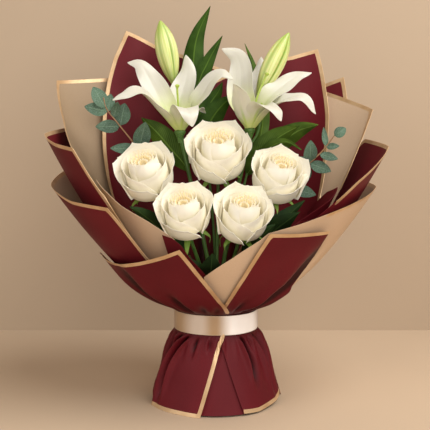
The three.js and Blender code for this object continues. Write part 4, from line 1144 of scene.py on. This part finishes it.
def build_lily_stem(number, base, spot, pistil):
    path = stem_path(spot, base, [base[0] * LILY_LEAN, 0, 1], LILY_BEND)
    shape = Shape()
    shape.tube(path, growing_radii(path, LILY_STEM, number + 5, 0.03), sides=12)
    shape.rings(spin(CONE, 18, np.eye(3), base))
    axis = turn_to(pistil[0] - base)
    shape.rings(spin(OVARY, 12, axis, base, 0.10), look=1)
    style = even_path([base + axis[:, 2] * 14, pistil], 18)
    shape.tube(style, np.linspace(1.25, 1.5, 18), sides=8, look=1)
    shape.rings(spin(STIGMA, 15, turn_to(pistil[2] - pistil[1]), pistil[2], 0.16), look=1)
    lean = (pistil[1] - base) * 0.9
    for k in range(FILAMENTS):
        out = outwards(math.radians(360 / FILAMENTS * k + 20))
        filament = even_path([base + out * 3.4 + [0, 0, 3.6], base + out * 6.5 + lean * 0.45,
                              base + out * 9.5 + lean * 0.95], 10)
        shape.tube(filament, np.linspace(0.85, 0.5, 10), sides=6, look=1)
    make_piece(f"lily_{number}_stalk", shape, [STEM, STYLE], "green_stem", f"lily_{number}_stem")


def build_bud(number, pedicel, base, tip, radius, start):
    axis = tip - base
    t = np.linspace(0, 1, 44)
    radii = np.convolve(np.pad(read(BUD_PROFILE, t), 2, mode="edge"), np.ones(5) / 5, mode="valid")
    radii[-1] = 0.04
    turn = np.linspace(0, 2 * math.pi, 48, endpoint=False) + start
    lobe = np.abs(np.cos(1.5 * turn))
    groove, rib = bump(lobe, 0, 0.22), bump(lobe, 1, 0.05)
    ends = 1 - smooth(np.abs(t - 0.5), 0.38, 0.5)[:, None]
    wide = radii[:, None] * radius * (0.9 + 0.1 * lobe**0.5 - 0.09 * groove * ends
                                      - 0.04 * rib * ends)
    rings = polar(wide, np.degrees(turn), t[:, None] * np.linalg.norm(axis))
    shape = Shape()
    shape.rings(rings @ turn_to(axis).T + base, tone=np.clip(groove * 0.9 + rib * 0.55, 0, 1))
    shape.tube(even_path([table(pedicel), base, base + axis * 0.05], 26),
               np.linspace(PEDICEL * 0.85, PEDICEL, 26), look=1)
    make_piece(f"bud_{number}", shape, [BUD, STEM], "lily_bud", f"lily_bud_{number}", sharp=60)


for lily_number, (lily_base, lily_spot, lily_tepals, lily_pistil) in enumerate(LILIES, 1):
    for place_number, tepal_facts in enumerate(lily_tepals, 1):
        build_tepal(lily_number, place_number, np.array(lily_base, float), *tepal_facts)
    build_lily_stem(lily_number, np.array(lily_base, float), lily_spot,
                    np.array(table(lily_pistil)))
for bud_number, (bud_pedicel, *bud_facts) in enumerate(BUDS, 1):
    bud_base, bud_tip = np.array(bud_facts[:2], float)
    build_bud(bud_number, bud_pedicel, bud_base, bud_tip, *bud_facts[2:])

# --- Foliage ---
# A leafy stem is its spot, its path, the look of its leaves, and the leaves: where they leave the
# stem, as a share of its length, their width and their path.

LEAF_THICKNESS = 0.7
FOLIAGE = {
    "foliage_back": (("groove", 90), "-4 40 240, -16 46 362", LANCE, [
        (0.985, 33, "-26 58 385, -32 72 432, -28 84 489, -8 92 538"),
        (0.97, 26, "-21 50 375, -24 60 424, -11 68 457, 9 76 494"),
        (0.99, 26, "-11 54 378, -8 62 398, 3 68 415, 9 70 429"),
        (0.95, 32, "-12 42 361, -5 46 378, 8 50 395, 25 54 410")]),
    "foliage_right": (("outside", 59), "26 30 220, 46 34 318", LEAF, [
        (0.94, 34, "54 26 318, 66 22 334, 86 18 352, 111 8 366"),
        (1, 36, "60 38 330, 88 44 345, 115 40 361, 139 30 368"),
        (0.94, 18, "62 56 350, 66 72 400, 52 80 455, 41 84 484"),
        (1, 13, "62 20 330, 80 10 342, 96 2 344, 113 -2 334")]),
    "foliage_left": (("outside", 121), "-22 28 220, -38 30 305", LEAF, [
        (1, 36, "-46 30 318, -60 28 334, -80 24 358, -100 16 377")]),
    "rose_leaf_left": (("groove", 210), "-20 -14 160, -36 -18 195", ROSE_LEAF, [
        (1, 32, "-50 -24 206, -74 -36 234, -93 -46 252, -109 -52 262")]),
    "rose_leaf_right": (("groove", 330), "20 -14 160, 36 -18 195", ROSE_LEAF, [
        (1, 32, "50 -24 204, 72 -38 228, 89 -48 243, 106 -54 256"),
        (1, 30, "60 -28 212, 82 -24 236, 100 -20 254, 116 -16 268"),
        (1, 24, "44 -34 206, 54 -46 220, 64 -52 231, 75 -54 240")]),
    "rose_leaf_front": (("groove", 270), "0 -22 140, -4 -36 165", ROSE_LEAF, [
        (1, 34, "-7 -48 172, -7 -62 178, -6 -76 188, -5 -86 207"),
        (1, 24, "-10 -48 172, -20 -62 178, -30 -70 190, -38 -74 203")]),
}

# Leaves of a sprig: where they leave the twig, as a share of its length, their tip, their width,
# and how far they turn away from the front.
EUCALYPTUS_SPRIGS = {
    "eucalyptus_left": (("twig", 151),
        "-34 18 210, -84 16 305, -107 0 340, -129 -8 369, -143 -8 387, -147 -8 402",
        """0.766 -92 -12 370 23 0.3, 0.76 -138 -14 336 16 -0.3, 0.876 -120 -2 395 23 -0.2,
        0.872 -157 -14 364 18 0.4, 0.92 -128 -14 396 13 0.5, 0.95 -138 -4 407 15 0.1,
        0.95 -171 -14 390 18 -0.4, 0.962 -161 -4 416 20 0.2"""),
    "eucalyptus_right": (("twig", 29),
        "34 16 200, 100 4 280, 119 -12 312, 127 -16 321, 138 -18 332, 146 -20 342, 153 -20 352",
        """0.71 133 0 274 17 0.3, 0.82 124 -6 297 12 -0.3, 0.83 111 -4 325 14 0.3,
        0.845 149 -24 306 16 -0.2, 0.855 122 -26 346 19 0.2, 0.905 158 -22 322 12 0.4,
        0.95 159 -26 339 9 -0.3, 0.955 140 -16 363 10 0.5, 1 168 -20 362 14 0.1"""),
}


def build_foliage(name, spot, ends, leaf, leaves):
    first, end = np.array(table(ends))
    stem = stem_path(spot, end, end - first)
    shape = Shape()
    shape.tube(stem, growing_radii(stem, FOLIAGE_STEM, len(name)), look=1)
    toothed = leaf is ROSE_LEAF
    for k, (start, width, points) in enumerate(leaves):
        points = table(points)
        t = np.linspace(0, 1, 60 if toothed else 32)
        path = even_path([walk(stem, start), points], len(t))
        across = unit(np.cross(np.subtract(points[3], points[0]), [0, 1, 0.4]))
        half = width / 2 * np.sin(math.pi * t**0.8) ** 0.9
        half = half + toothed * 0.5 * np.abs(np.sin(t * 42)) * np.sin(math.pi * t)
        half = np.maximum(half, np.where(t < 0.2, 1.1 - t, 0.12))
        rng = random.Random(len(name) * 7 + k)
        wave, phase = rng.uniform(1.3, 2.2), rng.uniform(0, 6.28)

        def lift(e, s, half=half, wave=wave, phase=phase):
            fold = 0.26 * half * np.abs(e) ** 1.4
            crease = -0.5 * np.exp(-((e / 0.1) ** 2))
            ripple = 1.1 * np.sin(2 * math.pi * wave * s + phase + e) * e**2
            puff = 0.22 * np.sin(2 * math.pi * (9 * (s - 0.3 * np.abs(e)))) * (1 - np.abs(e))
            return (fold + crease + ripple + puff) * smooth(s, 0.02, 0.2)

        blade(shape, path, across, half, LEAF_THICKNESS, lift, columns=13)
    make_piece(name + "_leaves", shape, [leaf, STEM], "leaf", name, sharp=60)


def build_eucalyptus(name, spot, points, leaves):
    foot, inside, top = (bundle_spot(spot, h) for h in (0.0, BUNDLE_TOP - 5, BUNDLE_TOP))
    bent = even_path([inside, top, table(points)], 70)
    twig = np.vstack([foot + (inside - foot) * np.linspace(0, 1, 10)[:-1, None], bent])
    shape = Shape()
    radii = np.interp(np.arange(len(twig)), [0, 30, len(twig) - 1], [1.7, 1.6, 0.8])
    shape.tube(twig, radii, sides=8, look=1)
    t = np.linspace(0, 1, 24)
    oval = np.sin(math.pi * t**0.88) ** 0.74 * smooth(t, 0.02, 0.12)
    for k, (share, *tip, width, turn) in enumerate(table(leaves)):
        at = bent[int(share * (len(bent) - 1))]
        outward = tip - at
        across = unit(np.cross(outward, [turn, -1, 0.3]))
        droop = random.Random(len(name) * 3 + k).uniform(-2.5, 2.5)
        path = even_path([at + outward * f - [0, droop * math.sin(math.pi * f), 0]
                          for f in (0, 0.33, 0.66, 1)], 24)
        half = np.maximum(width / 2 * oval, np.where(t < 0.1, 0.7, 0.15))
        blade(shape, path, across, half, LEAF_THICKNESS,
              lambda e, s: 0.10 * half * e**2 + 0.3 * np.sin(5 * s + e * 2) * np.abs(e),
              columns=11)
    make_piece(name + "_sprig", shape, [EUCALYPTUS, TWIG], "eucalyptus", name, sharp=60)


for plants, build in ((FOLIAGE, build_foliage), (EUCALYPTUS_SPRIGS, build_eucalyptus)):
    for plant_name, plant_facts in plants.items():
        build(plant_name, *plant_facts)

# --- Stage ---

WALL_AT = 0.371  # metres behind the frame's middle
ROOM = 4.0  # metres, half the room's width
FLOOR_AT = -0.0002
DAYLIGHT = 0.26
LIGHTS_AIM = (0, 0, 260)  # mm, about the bunch's axis


def make_stage():
    mesh = bpy.data.meshes.new("room")
    corners = [(x, y, FLOOR_AT) for x, y in ((-ROOM, -ROOM), (ROOM, -ROOM), (ROOM, WALL_AT),
                                            (-ROOM, WALL_AT))]
    corners += [(ROOM, WALL_AT, ROOM), (-ROOM, WALL_AT, ROOM)]
    mesh.from_pydata(corners, [], [(0, 1, 2, 3), (3, 2, 4, 5)])
    for name, light, dark in (("pale_floor", srgb(198, 174, 147), srgb(190, 166, 139)),
                              ("pale_wall", srgb(184, 162, 137), srgb(179, 157, 132))):
        look = Look(name, 0.8)
        patches = look.mottled(2.0, 120.0)[0]
        look.paint(light, (look.ramp(patches, 0.3, 0.7, 0, 0.5), dark))
        mesh.materials.append(look.material)
    mesh.polygons[1].material_index = 1
    room = place("room", mesh)
    room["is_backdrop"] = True
    world = bpy.data.worlds.new("studio")
    bpy.context.scene.world = world
    world.use_nodes = True
    background = world.node_tree.nodes["Background"].inputs
    background["Color"].default_value = srgb(228, 222, 214)
    background["Strength"].default_value = DAYLIGHT


def make_light(name, at, size, power, colour):
    data = bpy.data.lights.new(name, "AREA")
    data.shape = "DISK"
    data.size, data.energy, data.color = size, power, colour
    lamp = place(name, data, at)
    aim = Vector(in_frame(LIGHTS_AIM)[0]) - lamp.location
    lamp.rotation_euler = aim.to_track_quat("-Z", "Y").to_euler()


make_stage()
make_light("key", (860, -620, 1850), 1.6, 40.0, (1.0, 0.985, 0.96))
make_light("fill", (-1450, -1050, 880), 1.4, 10.0, (1.0, 0.985, 0.965))
make_light("front", (420, -1500, 460), 1.2, 12.0, (1.0, 0.985, 0.965))
bpy.context.scene.view_settings.view_transform = "Standard"

# --- Bounds of what is shown ---

visual_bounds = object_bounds()
